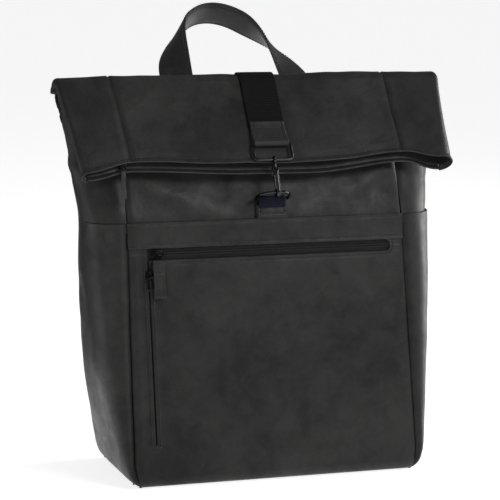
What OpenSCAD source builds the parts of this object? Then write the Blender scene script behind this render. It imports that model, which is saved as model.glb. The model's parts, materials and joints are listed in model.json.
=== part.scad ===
// Roll-top leather backpack, buckled shut and standing on its base.
// Millimetres. -Y is the front, +X is to the right seen from the front, +Z is up.
// The origin is the middle of the flat base.

/* [Bag body] */
// Height of the centre line that the top rolls over
throat_z = 396; // [390:1:402]
// Height of the seam along the top of the zip band
band_z = 265; // [258:1:270]
// Front face at the base
front_base_y = -72; // [-78:1:-66]
// Front face at the band's top seam
front_band_y = -22; // [-26:1:-18]
// Back face at the base
back_base_y = 72; // [68:1:76]
// Back face where the top rolls over
back_top_y = 56; // [54:1:58]
// Half of the width at the base
base_half_w = 160; // [156:1:164]
// Half of the width at the band
belly_half_w = 190; // [186:1:194]
// Half of the flat width where the top rolls over
mouth_half_w = 210; // [206:1:212]
// Front seam's distance from the middle at the base
seam_base_x = 154; // [152:1:156]
// Front seam's distance from the middle at the band
seam_top_x = 150; // [148:1:152]
// Radius of the bottom edge
base_r = 10; // [8:1:12]
// Thickness of the leather panels
leather_t = 2; // [1.6:0.2:2.4]
// Gap between panels that are sewn together
seam_gap = 0.3; // [0.2:0.1:0.4]
// Rise of the upper front face, sideways over upwards, at the band
upper_slope = 0.3; // [0.25:0.01:0.35]

/* [Rolled top] */
// Outer radius of the roll
fold_r = 14; // [13:0.5:15]
// Inner radius of the roll
inner_r = 3; // [3:0.5:4]
// Lean of the rolled-down top from the vertical
flap_lean = 35; // [33:1:37]
// Length of the outer layer below the roll
outer_len = 94; // [90:1:98]
// Length of the inner layer below the roll
inner_len = 103; // [100:1:106]
// Half of the width at the mouth's edge
flap_end_half_w = 203; // [200:1:205]
// Thickness of the two layers
flap_t = 1.6; // [1.4:0.1:1.8]

/* [Pockets and zips] */
// Left end of the front zip's slot
front_slot_x0 = -129; // [-131:1:-127]
// Right end of the front zip's slot
front_slot_x1 = 135; // [130:1:138]
// Height of the front zip's slot
front_slot_h = 13; // [12:0.5:14]
// Height at which the slot meets the band
front_slot_z = 240; // [238:1:242]
// Distance of the upright zip from the middle
quick_zip_x = -129.5; // [-131:0.5:-128]
// Lower end of the upright zip's slit
quick_slit_z = 44; // [42:1:60]
// Width of the upright zip's slit
quick_slit_w = 4; // [3.6:0.2:5]
// Depth of each flat pocket
pocket_depth = 7; // [6.6:0.2:8]
// Length of the two leather pull tabs
pull_len = 44; // [40:1:48]

/* [Closure] */
// Sideways place of the closure strap
strap_x = 5; // [0:1:6]
// Width of the closure webbing
webbing_w = 38; // [36:1:38]
// Thickness of the webbing
webbing_t = 1.6; // [1.4:0.1:1.8]
// Distance of the ring's upper bar below the roll
ring_l = 77; // [74:1:80]
// Distance between the ring's two bars
ring_h = 20; // [18:1:22]
// Clear width inside the ring
ring_w = 38.6; // [38.6:0.2:40]
// Radius of the ring's wire
ring_wire_r = 1.4; // [1.2:0.1:1.5]
// Radius of the D-ring's wire
d_wire_r = 1.6; // [1.4:0.1:1.8]
// Half of the D-ring's width, between wire centres
d_half_w = 17.5; // [16:0.5:18]
// Reach of the D-ring, between wire centres
d_reach = 23; // [22:0.5:24]
// Rise of the hooked D-ring above the horizontal
d_rise = 25; // [20:1:30]

/* [Carrying] */
// Width of the handle's strap
handle_w = 35; // [32:1:36]
// Thickness of the handle's strap
handle_t = 3.6; // [3:0.2:4]
// Half of the distance between the handle's feet
handle_half = 67; // [64:1:69]
// Length of the handle's loop from its feet to its top
handle_rise = 114; // [110:1:118]
// Lean of the handle backwards from the vertical
handle_lean = 42; // [38:1:46]
// Sideways shift of the handle's loop for each millimetre of its length
handle_skew = 0.14; // [0.1:0.01:0.18]
// Width of a shoulder strap at its top
pad_w = 62; // [56:1:66]
// Thickness of a shoulder strap
pad_t = 9; // [8:0.5:10]
// Width of the shoulder straps' lower webbing
lower_web_w = 25; // [24:1:26]

/* [Hidden] */
$fn = 64;
LEATHER = [0.16, 0.16, 0.17];
DARK_LEATHER = [0.13, 0.13, 0.14];
WEBBING = [0.08, 0.08, 0.09];
NAVY = [0.09, 0.09, 0.16];
METAL = [0.25, 0.25, 0.27];
CLOTH = [0.2, 0.2, 0.22];
MESH = [0.1, 0.1, 0.11];
TAPE = [0.07, 0.07, 0.08];

// Centre of the roll
fold_y = back_top_y - fold_r;
// The front face runs from the band to the roll's inner layer on a parabola
upper_h = throat_z - band_z;
upper_curve = (fold_y + inner_r - front_band_y - upper_slope * upper_h) / pow(upper_h, 2);
front_tilt = atan2(front_band_y - front_base_y, band_z);
back_tilt = atan2(back_base_y - back_top_y, throat_z);
// Where the panels end against the roll
top_z = throat_z - seam_gap;
// Gap between a moving piece and what it lies on
lie_gap = 0.3;
// Angle from the roll's back to the outer layer, round the roll
fold_turn = 180 - flap_lean;

// Closure: offsets are from the roll's centre line, square to the flap
web_off = fold_r + lie_gap;
bar_off = fold_r + 4.2;
tip_w = 36;
tip_l = 52;
tip_t = 1.7;
ring_corner = 3;
web_end_l = 62;
// The D-ring's straight bar, in front of the upper front panel
d_bar_z = 285.5;
d_bar_y = front_y(d_bar_z) - 4.3;
d_tip = [d_bar_y - d_reach * cos(d_rise), d_bar_z + d_reach * sin(d_rise)];
// The snap hook runs from the ring's lower bar to the D-ring's arc
hook_top = flap_pt(strap_x, ring_l + ring_h, bar_off);
hook_lean = atan2(hook_top[1] - d_tip[0], hook_top[2] - d_tip[1]);
hook_reach = norm([hook_top[1] - d_tip[0], hook_top[2] - d_tip[1]]);
hook_w = 4.6;
bend_in = 3.2;
bend_out = 6.2;
gate_pin_a = -14.5;
gate_b = -4.7;

// Zips, in the front face's own plane: s runs up the face
front_zip_s = (front_slot_z - front_slot_h / 2) / cos(front_tilt);
coil_r = 1.3;
tape_t = 0.8;
tape_z = -leather_t - 0.2 - tape_t;
coil_z = tape_z + tape_t + coil_r;
front_slider_x = -119.5;
quick_slider_s = 216;
slider_w = 9;
slider_l = 13;

// Handle and shoulder straps
handle_foot_z = 384;
handle_foot_y = back_y(handle_foot_z) + 3.7;
yoke_z0 = 344;
yoke_z1 = 378;
pad_top_z = 340;
pad_low_z = 128;
tab_z = 88;
tab_x = 164;

// ---- the bag's outside, as functions of height ----

function mix(a, b, t) = a + (b - a) * t;
function front_y(z) = z < band_z
    ? mix(front_base_y, front_band_y, z / band_z)
    : front_band_y + upper_slope * (z - band_z) + upper_curve * pow(z - band_z, 2);
function back_y(z) = mix(back_base_y, back_top_y, z / throat_z);
function half_w(z) = z < band_z
    ? belly_half_w - (belly_half_w - base_half_w) * pow(1 - z / band_z, 2)
    : mix(belly_half_w, mouth_half_w, (z - band_z) / upper_h);
function seam_x(z) = mix(seam_base_x, seam_top_x, min(1, z / band_z));
// The gusset is boxy at the base and pinched flat at the roll
function gusset_power(z) = mix(4.5, 1.4, pow(z / throat_z, 0.7));

// A level of the wall: [height, inset] of the surface that lies d inside the leather's outside
function edge_level(turn, d) = [base_r - (base_r - d) * cos(turn), base_r - (base_r - d) * sin(turn)];
function levels(z0, z1, steps, d) = [for (i = [0:steps]) [mix(z0, z1, i / steps), d]];
function base_levels(z1, steps, d) = concat(
    [for (turn = [0, 30, 60]) edge_level(turn, d)],
    levels(base_r, z1, steps, d));

function front_row(v, xs) = [for (k = xs) [k * (seam_x(v[0]) - seam_gap), front_y(v[0]) + v[1], v[0]]];
function back_row(v, xs) = [for (k = xs) [-k * (seam_x(v[0]) - seam_gap), back_y(v[0]) - v[1], v[0]]];
// A point round the gusset: turn is 0 at the front seam and 180 at the back seam
function gusset_pt(v, turn, front_in, side_in) =
    let (
        e = 2 / gusset_power(v[0]),
        side = pow(abs(sin(turn)), e),
        along = (1 - sign(cos(turn)) * pow(abs(cos(turn)), e)) / 2,
        y0 = front_y(v[0]) + front_in,
        y1 = back_y(v[0]) - side_in)
    [mix(seam_x(v[0]), half_w(v[0]) - side_in, side), mix(y0, y1, along), v[0]];
function gusset_row(v, steps) = [for (i = [0:steps]) gusset_pt(v, 180 * i / steps, v[1], v[1])];

// A point of the rolled-down top: l below the roll, off square to the layer
function flap_pt(x, l, off) = [
    x,
    fold_y - off * cos(flap_lean) - l * sin(flap_lean),
    throat_z + off * sin(flap_lean) - l * cos(flap_lean)];
function flap_half_w(l) = mix(mouth_half_w, flap_end_half_w, l / outer_len);

// ---- building blocks ----

// A closed sheet between two grids of points; rows run up and columns run left to right,
// seen from outside
module sheet(outer, inner) {
    rows = len(outer);
    cols = len(outer[0]);
    count = rows * cols;
    points = concat([for (row = outer) each row], [for (row = inner) each row]);
    function at(i, j, layer) = layer * count + i * cols + j;
    function quad(a, b, c, d) = [[a, b, c], [a, c, d]];
    polyhedron(points, concat(
        [for (i = [0:rows - 2], j = [0:cols - 2])
            each quad(at(i, j, 0), at(i + 1, j, 0), at(i + 1, j + 1, 0), at(i, j + 1, 0))],
        [for (i = [0:rows - 2], j = [0:cols - 2])
            each quad(at(i, j, 1), at(i, j + 1, 1), at(i + 1, j + 1, 1), at(i + 1, j, 1))],
        [for (j = [0:cols - 2])
            each quad(at(0, j, 0), at(0, j + 1, 0), at(0, j + 1, 1), at(0, j, 1))],
        [for (j = [0:cols - 2])
            each quad(at(rows - 1, j + 1, 0), at(rows - 1, j, 0), at(rows - 1, j, 1), at(rows - 1, j + 1, 1))],
        [for (i = [0:rows - 2])
            each quad(at(i + 1, 0, 0), at(i, 0, 0), at(i, 0, 1), at(i + 1, 0, 1))],
        [for (i = [0:rows - 2])
            each quad(at(i, cols - 1, 0), at(i + 1, cols - 1, 0), at(i + 1, cols - 1, 1), at(i, cols - 1, 1))]));
}

// Local X stays X, local Y climbs a face that leans back by tilt, local Z points out of it
module on_lean(p, tilt) {
    translate(p) rotate([90 - tilt, 0, 0]) children();
}
module on_front() {
    on_lean([0, front_base_y, 0], front_tilt) children();
}
// Local Y climbs the back face, local -Z points out of it
module on_back() {
    translate([0, back_base_y, 0]) rotate([90 + back_tilt, 0, 0]) children();
}
// Extrudes an outline of the YZ plane along X, centred on x0
module along_x(width, x0 = 0) {
    translate([x0 - width / 2, 0, 0]) rotate([90, 0, 90]) linear_extrude(width) children();
}
// Part of a ring about the origin, from angle a0 to a1, less than a half turn
module arc_band(r_out, t, a0, a1) {
    mid = (a0 + a1) / 2;
    far = r_out * 4;
    intersection() {
        difference() {
            circle(r_out);
            circle(r_out - t);
        }
        polygon([[0, 0], [far * cos(a0), far * sin(a0)], [far * cos(mid), far * sin(mid)],
            [far * cos(a1), far * sin(a1)]]);
    }
}
// Outline of a rectangle with round corners, centred
function round_rect(w, h, r) = [for (k = [0:3], a = [0:15:90])
    [(k == 0 || k == 3 ? 1 : -1) * (w / 2 - r) + r * cos(90 * k + a),
        (k < 2 ? 1 : -1) * (h / 2 - r) + r * sin(90 * k + a)]];
// A bar of round wire along X
module bar_x(r, length) {
    rotate([0, 90, 0]) cylinder(r = r, h = length, center = true);
}
// A bend of round wire in the XY plane, from angle a0 through turn
module wire_bend(bend_r, wire_r, a0, turn) {
    rotate([0, 0, a0]) rotate_extrude(angle = turn) translate([bend_r, 0]) circle(wire_r);
}

// ---- the bag's shell ----

module base_board() {
    color(DARK_LEATHER) translate([0, 0, leather_t + 0.2]) linear_extrude(2)
        polygon(plan_outline(leather_t + 0.2, base_r + 3));
}
// Outline of the plan at one height, inset by d
function plan_outline(z, d) = concat(
    [for (p = gusset_row([z, d], 12)) [p[0] - 0.5, p[1]]],
    [for (p = gusset_row([z, d], 12)) [0.5 - p[0], front_y(z) + back_y(z) - p[1]]]);
module bottom_panel() {
    color(LEATHER) linear_extrude(leather_t) polygon(plan_outline(0, base_r + 0.5));
}
XS = [for (i = [0:6]) i / 3 - 1];
module front_panel() {
    top = band_z - 2;
    color(LEATHER) difference() {
        sheet([for (v = base_levels(top, 5, 0)) front_row(v, XS)],
            [for (v = base_levels(top, 5, leather_t)) front_row(v, XS)]);
        on_front() translate([0, front_zip_s, 0]) linear_extrude(20, center = true) {
            translate([front_slot_x0, -front_slot_h / 2])
                square([front_slot_x1 - front_slot_x0 - front_slot_h / 2, front_slot_h]);
            translate([front_slot_x1 - front_slot_h / 2, 0]) circle(front_slot_h / 2);
        }
        on_front() translate([quick_zip_x - quick_slit_w / 2, quick_slit_z, -10])
            cube([quick_slit_w, front_zip_s - quick_slit_z, 20]);
    }
}
// A strip of leather over the top of the front panel; its lower edge is the zip slot's upper lip
module zip_band() {
    low = front_slot_z / cos(front_tilt);
    high = (band_z - seam_gap) / cos(front_tilt);
    w = seam_top_x - seam_gap;
    color(LEATHER) on_front() translate([-w, low, 0.1]) cube([2 * w, high - low, 1.2]);
}
module upper_front_panel() {
    color(LEATHER) sheet(
        [for (v = levels(band_z, top_z, 8, 0)) front_row(v, XS)],
        [for (v = levels(band_z, top_z, 8, leather_t)) front_row(v, XS)]);
}
module lower_gusset() {
    top = band_z - 3;
    color(LEATHER) sheet(
        [for (v = base_levels(top, 7, 0)) gusset_row(v, 14)],
        [for (v = base_levels(top, 7, leather_t)) gusset_row(v, 14)]);
}
module upper_gusset() {
    low = band_z - 3 + seam_gap;
    color(LEATHER) sheet(
        [for (v = levels(low, top_z, 10, 0.4)) gusset_row(v, 14)],
        [for (v = levels(low, top_z, 10, leather_t)) gusset_row(v, 14)]);
}
module lower_gusset_left() { mirror([1, 0, 0]) lower_gusset(); }
module lower_gusset_right() { lower_gusset(); }
module upper_gusset_left() { mirror([1, 0, 0]) upper_gusset(); }
module upper_gusset_right() { upper_gusset(); }
module back_panel() {
    color(LEATHER) sheet(
        [for (v = base_levels(top_z, 8, 0)) back_row(v, XS)],
        [for (v = base_levels(top_z, 8, leather_t)) back_row(v, XS)]);
}

// ---- inside ----

// The lining stands off the leather where the pockets lie, and closes up to it at the roll
pocket_room = leather_t + 2 * pocket_depth + 2;
function lining_in(z, room, gap) =
    let (least = leather_t + gap)
    max(least, min(room, room - (room - least) * (z - 280) / 80));
function lining_row(z, extra) =
    let (
        f = lining_in(z, pocket_room, 0.6) + extra,
        s = lining_in(z, 5, 0.8) + extra,
        half = [for (i = [0:14]) gusset_pt([z, 0], 180 * i / 14, f, s) - [0.9 * sin(180 * i / 14), 0, 0]])
    concat(half, [for (i = [14:-1:0]) [-half[i][0], half[i][1], half[i][2]]], [half[0] - [2, 0, 0]]);
module lining() {
    low = 6;
    rows = [for (i = [0:20]) mix(low, top_z, i / 20)];
    floor_in = 8;
    color(CLOTH) {
        sheet([for (z = rows) lining_row(z, 0)], [for (z = rows) lining_row(z, 0.6)]);
        translate([0, 0, low - 1]) linear_extrude(0.8) polygon(plan_outline(low, floor_in));
    }
}
// A padded wall that keeps a laptop against the back
divider_gap = 26;
module laptop_divider() {
    color(CLOTH) on_back() translate([-142, 12, divider_gap]) cube([284, 272, 4]);
}
module slip_pocket() {
    color(CLOTH) on_back() translate([-100, 110, divider_gap + 9]) cube([200, 130, 1]);
}
// A flat pocket hung behind the front panel: an open-fronted tray in the panel's own plane
module pocket_tray(x0, x1, s0, s1, z_front, z_back) {
    wall = 0.6;
    translate([x0, s0, z_back]) difference() {
        cube([x1 - x0, s1 - s0, z_front - z_back]);
        translate([wall, wall, wall]) cube([x1 - x0 - 2 * wall, s1 - s0 - 2 * wall, z_front - z_back]);
    }
}
tray_z = -leather_t - 1.3;
tray_mid_z = tray_z - pocket_depth;
module quick_pocket_bag() {
    color(CLOTH) on_front() pocket_tray(-146, -10, 38, 218, tray_z, tray_mid_z + 0.2);
}
module front_pocket_bag() {
    color(CLOTH) on_front() pocket_tray(-140, 142, 40, 246, tray_mid_z - 0.1, tray_mid_z - pocket_depth);
}

// ---- zips ----

module front_zip_tape() {
    color(TAPE) on_front() translate([front_slot_x0 - 8, front_zip_s - 13, tape_z])
        cube([front_slot_x1 - front_slot_x0 + 16, 26, tape_t]);
}
module front_zip_coil() {
    mid = (front_slot_x0 + front_slot_x1) / 2;
    length = front_slot_x1 - front_slot_x0 - 8;
    color(TAPE) on_front() translate([mid, front_zip_s, coil_z]) bar_x(coil_r - 0.05, length);
}
module quick_zip_tape() {
    top = front_zip_s - 14;
    color(TAPE) on_front() translate([quick_zip_x - 13, quick_slit_z - 3, tape_z])
        cube([26, top - quick_slit_z + 3, tape_t]);
}
module quick_zip_coil() {
    length = front_zip_s - 16 - quick_slit_z;
    color(TAPE) on_front() translate([quick_zip_x, quick_slit_z + 1, coil_z])
        rotate([-90, 0, 0]) cylinder(r = coil_r - 0.05, h = length);
}
// Places of a slider's parts, out of the face: its top, and the pivot of its puller
slider_top = coil_z + coil_r + 3;
pull_z = slider_top + 1.2;
link_r = 0.7;
link_w = 5.6;
// The eye on top of a slider, about the puller's pivot at the origin
module slider_eye() {
    color(METAL) along_x(3) difference() {
        translate([-1.7, -1.4]) square([3.4, 3]);
        circle(link_r + 0.2);
    }
}
// A wire link that hangs from the pivot at the origin; its upper bar turns in the eye
module wire_link(length) {
    color(METAL) {
        for (y = [0, -length]) translate([0, y, 0]) bar_x(link_r, link_w + 2 * link_r);
        for (side = [-1, 1]) translate([side * link_w / 2, 0, 0]) rotate([90, 0, 0])
            cylinder(r = link_r, h = length);
    }
}
module front_zip_slider() {
    top = coil_r + 3;
    color(METAL) on_front() translate([front_slider_x, front_zip_s, coil_z]) difference() {
        translate([-slider_l / 2, -slider_w / 2, 0.2 - coil_r])
            cube([slider_l, slider_w, top + coil_r - 0.2]);
        translate([-slider_l, -coil_r - 0.3, -2 * coil_r])
            cube([2 * slider_l, 2 * coil_r + 0.6, 3 * coil_r + 0.3]);
    }
    on_front() translate([front_slider_x, front_zip_s - 1, pull_z]) slider_eye();
}
module front_zip_pull() {
    on_front() translate([front_slider_x, front_zip_s - 1, pull_z]) {
        wire_link(6.4);
        color(DARK_LEATHER) translate([-5.5, -pull_len, -0.9]) cube([11, pull_len - 6, 2.2]);
    }
}
// The upright zip's slider rides over its slit, and its puller is a plain wire loop
module quick_zip_slider() {
    low = coil_z + coil_r + lie_gap;
    color(METAL) on_front() translate([quick_zip_x - 3.8, quick_slider_s - 4.5, low])
        cube([7.6, 9, slider_top - low]);
    on_front() translate([quick_zip_x, quick_slider_s - 2, pull_z]) slider_eye();
}
module quick_zip_pull() {
    on_front() translate([quick_zip_x, quick_slider_s - 2, pull_z]) wire_link(13);
}

// ---- the D-ring and its keeper ----

module keeper_patch() {
    base = [strap_x, front_y(band_z) - lie_gap, band_z];
    color(LEATHER) on_lean(base, atan(upper_slope)) translate([-16, 1.5, 2.2]) cube([32, 12.5, 1.8]);
}
module keeper_loop() {
    color(NAVY) {
        along_x(28, strap_x) translate([d_bar_y, d_bar_z]) difference() {
            circle(d_wire_r + 1.6);
            circle(d_wire_r + 0.2);
        }
        on_lean([strap_x, front_y(band_z) - lie_gap, band_z], atan(upper_slope))
            translate([-14, 3, 0.4]) cube([28, 15.4, 1.5]);
    }
}
// The straight bar is on the origin's X axis, and the arc reaches along local -Y
module d_ring() {
    leg = d_reach - d_half_w;
    color(METAL) translate([strap_x, d_bar_y, d_bar_z]) rotate([-d_rise, 0, 0]) {
        bar_x(d_wire_r, 2 * d_half_w);
        for (side = [-1, 1]) translate([side * d_half_w, 0, 0]) {
            sphere(d_wire_r);
            rotate([90, 0, 0]) cylinder(r = d_wire_r, h = leg);
        }
        translate([0, -leg, 0]) wire_bend(d_half_w, d_wire_r, 180, 180);
    }
}

// ---- the rolled top ----

module layer(len_l, off) {
    color(LEATHER) on_lean(flap_pt(0, seam_gap, off), flap_lean) linear_extrude(flap_t)
        polygon([[-mouth_half_w + 4, 0], [mouth_half_w - 4, 0],
            [flap_half_w(len_l) - 4, -len_l], [4 - flap_half_w(len_l), -len_l]]);
}
module flap_outer_panel() { layer(outer_len, fold_r - flap_t); }
module flap_inner_panel() { layer(inner_len, inner_r); }
// The side turn that joins the two layers, an open half tube
function end_row(l, t, steps) =
    let (
        mid = (fold_r + inner_r) / 2,
        h = (fold_r - inner_r) / 2 - t,
        x = flap_half_w(l) - 3.8)
    [for (i = [0:steps]) flap_pt(x + (5 - t) * sin(180 * i / steps), l, mid + h * cos(180 * i / steps))];
module flap_end() {
    ls = [for (i = [4:-1:0]) mix(seam_gap, outer_len, i / 4)];
    color(LEATHER) sheet([for (l = ls) end_row(l, 0, 8)], [for (l = ls) end_row(l, flap_t, 8)]);
}
module flap_end_left() { mirror([1, 0, 0]) flap_end(); }
module flap_end_right() { flap_end(); }
module roll(r_out, t) {
    along_x(2 * mouth_half_w - 8) translate([fold_y, throat_z]) arc_band(r_out, t, 0, fold_turn);
}
module outer_fold() { color(LEATHER) roll(fold_r, flap_t); }
module inner_fold() { color(LEATHER) roll(inner_r + flap_t, flap_t); }

// The mouth zip closes the top between the two layers; a is -l and b is off
mouth_coil_l = 89.2;
mouth_mid = (fold_r + inner_r) / 2;
mouth_zip_w = 380;
module in_flap(x = 0) {
    on_lean(flap_pt(x, 0, 0), flap_lean) children();
}
module mouth_zip_tapes() {
    color(TAPE) in_flap() along_x(mouth_zip_w) for (side = [-1, 1]) polygon([
        [-70, mouth_mid + side * 3.7], [-70, mouth_mid + side * 2.9],
        [-88, mouth_mid + side * 0.4], [-88, mouth_mid + side * 1.2]]);
}
module mouth_zip_coil() {
    color(TAPE) in_flap() translate([0, -mouth_coil_l, mouth_mid]) bar_x(1, mouth_zip_w - 10);
}
mouth_slider_x = -154;
mouth_pivot_l = 94.8;
module mouth_zip_slider() {
    color(METAL) in_flap(mouth_slider_x) translate([-5, -93, mouth_mid - 2.9]) difference() {
        cube([10, 6.5, 5.8]);
        translate([-1, 2, 1.3]) cube([12, 10, 3.2]);
    }
    color(METAL) in_flap(mouth_slider_x) along_x(3) difference() {
        translate([-mouth_pivot_l - 1.6, mouth_mid - 1.6]) square([3.6, 3.2]);
        translate([-mouth_pivot_l, mouth_mid]) circle(link_r + 0.2);
    }
}
// Two thin leather strips on a wire link
module mouth_zip_pull() {
    in_flap(mouth_slider_x) translate([0, -mouth_pivot_l, mouth_mid]) wire_link(4.4);
    color(DARK_LEATHER) for (y = [-24.6, -22.9]) translate([mouth_slider_x - 3, y, 282]) cube([6, 1.4, 39]);
}

// ---- the closure strap and its hardware ----

module closure_anchor() {
    color(WEBBING) on_back() translate([strap_x - webbing_w / 2, yoke_z1 + 1, -lie_gap - webbing_t])
        cube([webbing_w, top_z - yoke_z1 - 3.5, webbing_t]);
    color(LEATHER) on_back() translate([strap_x - webbing_w / 2, yoke_z1 - 10, -2.1]) cube([webbing_w, 9, 1.8]);
}
module closure_fold() {
    color(WEBBING) along_x(webbing_w, strap_x) translate([fold_y, throat_z])
        arc_band(web_off + webbing_t, webbing_t, 0, fold_turn);
}
module closure_webbing() {
    color(WEBBING) in_flap(strap_x) translate([-webbing_w / 2, -web_end_l, web_off])
        cube([webbing_w, web_end_l - seam_gap, webbing_t]);
}
// Leather folded round the ring's upper bar and sewn over the webbing's end
module closure_tip() {
    r = ring_wire_r + 0.3;
    web_top = web_off + webbing_t + 0.1;
    color(LEATHER) in_flap(strap_x) along_x(tip_w) difference() {
        union() {
            translate([-ring_l, bar_off]) circle(r + tip_t);
            polygon([[-tip_l, web_top], [-tip_l, web_top + tip_t], [-ring_l, bar_off + r + tip_t], [-ring_l, bar_off + r]]);
            polygon([[-web_end_l - 1, web_off], [-web_end_l - 1, web_off + tip_t],
                [-ring_l, bar_off - r], [-ring_l, bar_off - r - tip_t]]);
        }
        translate([-ring_l, bar_off]) circle(r);
    }
}
module closure_ring() {
    half = ring_w / 2 + ring_wire_r;
    color(METAL) in_flap(strap_x) translate([0, -ring_l - ring_h / 2, bar_off]) {
        for (side = [-1, 1]) {
            translate([0, side * ring_h / 2, 0]) bar_x(ring_wire_r, 2 * (half - ring_corner));
            translate([side * half, 0, 0]) rotate([90, 0, 0])
                cylinder(r = ring_wire_r, h = ring_h - 2 * ring_corner, center = true);
        }
        for (k = [0:3]) translate([(k == 0 || k == 3 ? 1 : -1) * (half - ring_corner),
            (k < 2 ? 1 : -1) * (ring_h / 2 - ring_corner), 0])
            wire_bend(ring_corner, ring_wire_r, 90 * k, 90);
    }
}
// The hook's own frame: a runs up from the ring's lower bar, b points away from the bag
module in_hook() {
    on_lean(hook_top, hook_lean) children();
}
module hook_eye() {
    color(METAL) in_hook() {
        along_x(3) difference() {
            circle(4.4);
            circle(ring_wire_r + 0.3);
        }
        translate([0, -4, 0]) rotate([90, 0, 0]) cylinder(r = 1.9, h = 9.4);
        translate([0, -12.2, 0]) rotate([90, 0, 0]) cylinder(r = 2.9, h = 1.2);
    }
}
module snap_hook() {
    wire_a = -hook_reach;
    color(METAL) in_hook() difference() {
        union() {
            translate([0, -8, 0]) rotate([90, 0, 0]) cylinder(r = 3.6, h = 3.9);
            along_x(hook_w) {
                polygon([[-8.6, 2.4], [-8.6, 4.6], [wire_a + 3, bend_out], [wire_a, bend_out], [wire_a, bend_in], [-15, bend_in]]);
                polygon([[-8.6, -2.4], [-8.6, -4.2], [-13.2, -6.2], [-16, -6.2], [-16, -3.4], [-11.9, -3.2]]);
                translate([wire_a, 0]) difference() {
                    circle(bend_out);
                    circle(bend_in);
                    translate([0, -10]) square([20, 20]);
                }
                translate([wire_a, -bend_out]) square([2.6, bend_out - bend_in]);
            }
        }
        translate([0, -7, 0]) rotate([90, 0, 0]) cylinder(r = 1.97, h = 6);
        translate([-1.4, -20, gate_b - 3]) cube([2.8, 7, 5.2]);
    }
    color(METAL) in_hook() translate([0, gate_pin_a, gate_b]) bar_x(0.7, hook_w);
}
module hook_gate() {
    top = gate_pin_a;
    color(METAL) in_hook() along_x(2.4) difference() {
        union() {
            translate([top, gate_b]) circle(1.3);
            translate([-hook_reach + 3, gate_b - 1.2]) square([top + hook_reach - 3, 2.4]);
        }
        translate([top, gate_b]) circle(0.77);
    }
}

// ---- back and carrying ----

module back_pad(side) {
    color(MESH) on_back() translate([side * 64, 219, -10.3]) linear_extrude(10)
        polygon(round_rect(104, 206, 22));
}
module back_pad_left() { back_pad(-1); }
module back_pad_right() { back_pad(1); }
module strap_yoke() {
    color(LEATHER) on_back() translate([0, (yoke_z0 + yoke_z1 - 13) / 2, -2.3]) linear_extrude(2)
        polygon(round_rect(176, yoke_z1 - yoke_z0 - 13, 5));
}
module handle_anchors() {
    color(LEATHER) for (side = [-1, 1]) on_back()
        translate([side * handle_half, handle_foot_z - 10.8, -3.9])
        linear_extrude(3.6) polygon(round_rect(handle_w, 15, 3));
}
// The handle's middle line is half an ellipse that leans to the left, and its strap turns
// a quarter on the way up
function handle_pt(a) = [
    handle_half * cos(a) - handle_skew * handle_rise * sin(a),
    handle_foot_y + handle_rise * sin(a) * sin(handle_lean),
    handle_foot_z + handle_rise * sin(a) * cos(handle_lean)];
function unit(v) = v / norm(v);
function handle_frame(a) =
    let (
        along = unit(handle_pt(min(180, a + 0.5)) - handle_pt(max(0, a - 0.5))),
        out_of_loop = [0, cos(handle_lean), -sin(handle_lean)],
        in_loop = unit(cross(out_of_loop, along)),
        t = min(1, (90 - abs(90 - a)) / 64),
        turn = 90 * (3 * t * t - 2 * t * t * t))
    [in_loop * cos(turn) + out_of_loop * sin(turn),
        out_of_loop * cos(turn) - in_loop * sin(turn)];
module handle() {
    steps = 36;
    function edge(a, thick) =
        let (f = handle_frame(a), p = handle_pt(a))
        [for (k = [-1, 0, 1]) p + f[0] * k * handle_w / 2 + f[1] * thick];
    angles = [for (i = [0:steps]) 180 * i / steps];
    color(LEATHER) sheet([for (a = angles) edge(a, -handle_t / 2)], [for (a = angles) edge(a, handle_t / 2)]);
}
// A padded strap that starts at the yoke, hangs down over the back pad and bows outwards
strap_top_out = 7;
strap_out = 16.5;
function pad_mid(t) =
    let (
        z = mix(pad_top_z, pad_low_z, t),
        out = mix(strap_top_out, strap_out, sin(90 * min(1, t / 0.08))))
    [mix(46, 86, pow(t, 1.4)), back_y(z) + out + 5 * sin(180 * t), z];
module shoulder_strap(side) {
    function row(t, out) = [for (k = [1, 0.5, 0, -0.5, -1])
        pad_mid(t) + [k * mix(pad_w, pad_w - 12, t) / 2, out, 0]];
    ts = concat([for (i = [8:-1:1]) i / 8], [0.08, 0.05, 0.025, 0]);
    color(MESH) mirror([side < 0 ? 1 : 0, 0, 0])
        sheet([for (t = ts) row(t, pad_t / 2)], [for (t = ts) row(t, -pad_t / 2)]);
}
module shoulder_strap_left() { shoulder_strap(-1); }
module shoulder_strap_right() { shoulder_strap(1); }
// A plastic buckle with three bars at the strap's foot
adjuster_p = pad_mid(1) - [0, 0, 15];
module strap_adjuster(side) {
    color(METAL) translate([side * adjuster_p[0], adjuster_p[1], adjuster_p[2]]) rotate([90, 0, 0])
        linear_extrude(4, center = true) difference() {
            polygon(round_rect(34, 28, 3));
            for (k = [-1, 1]) translate([0, 6 * k]) square([27, 7], center = true);
        }
}
module strap_adjuster_left() { strap_adjuster(-1); }
module strap_adjuster_right() { strap_adjuster(1); }
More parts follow.
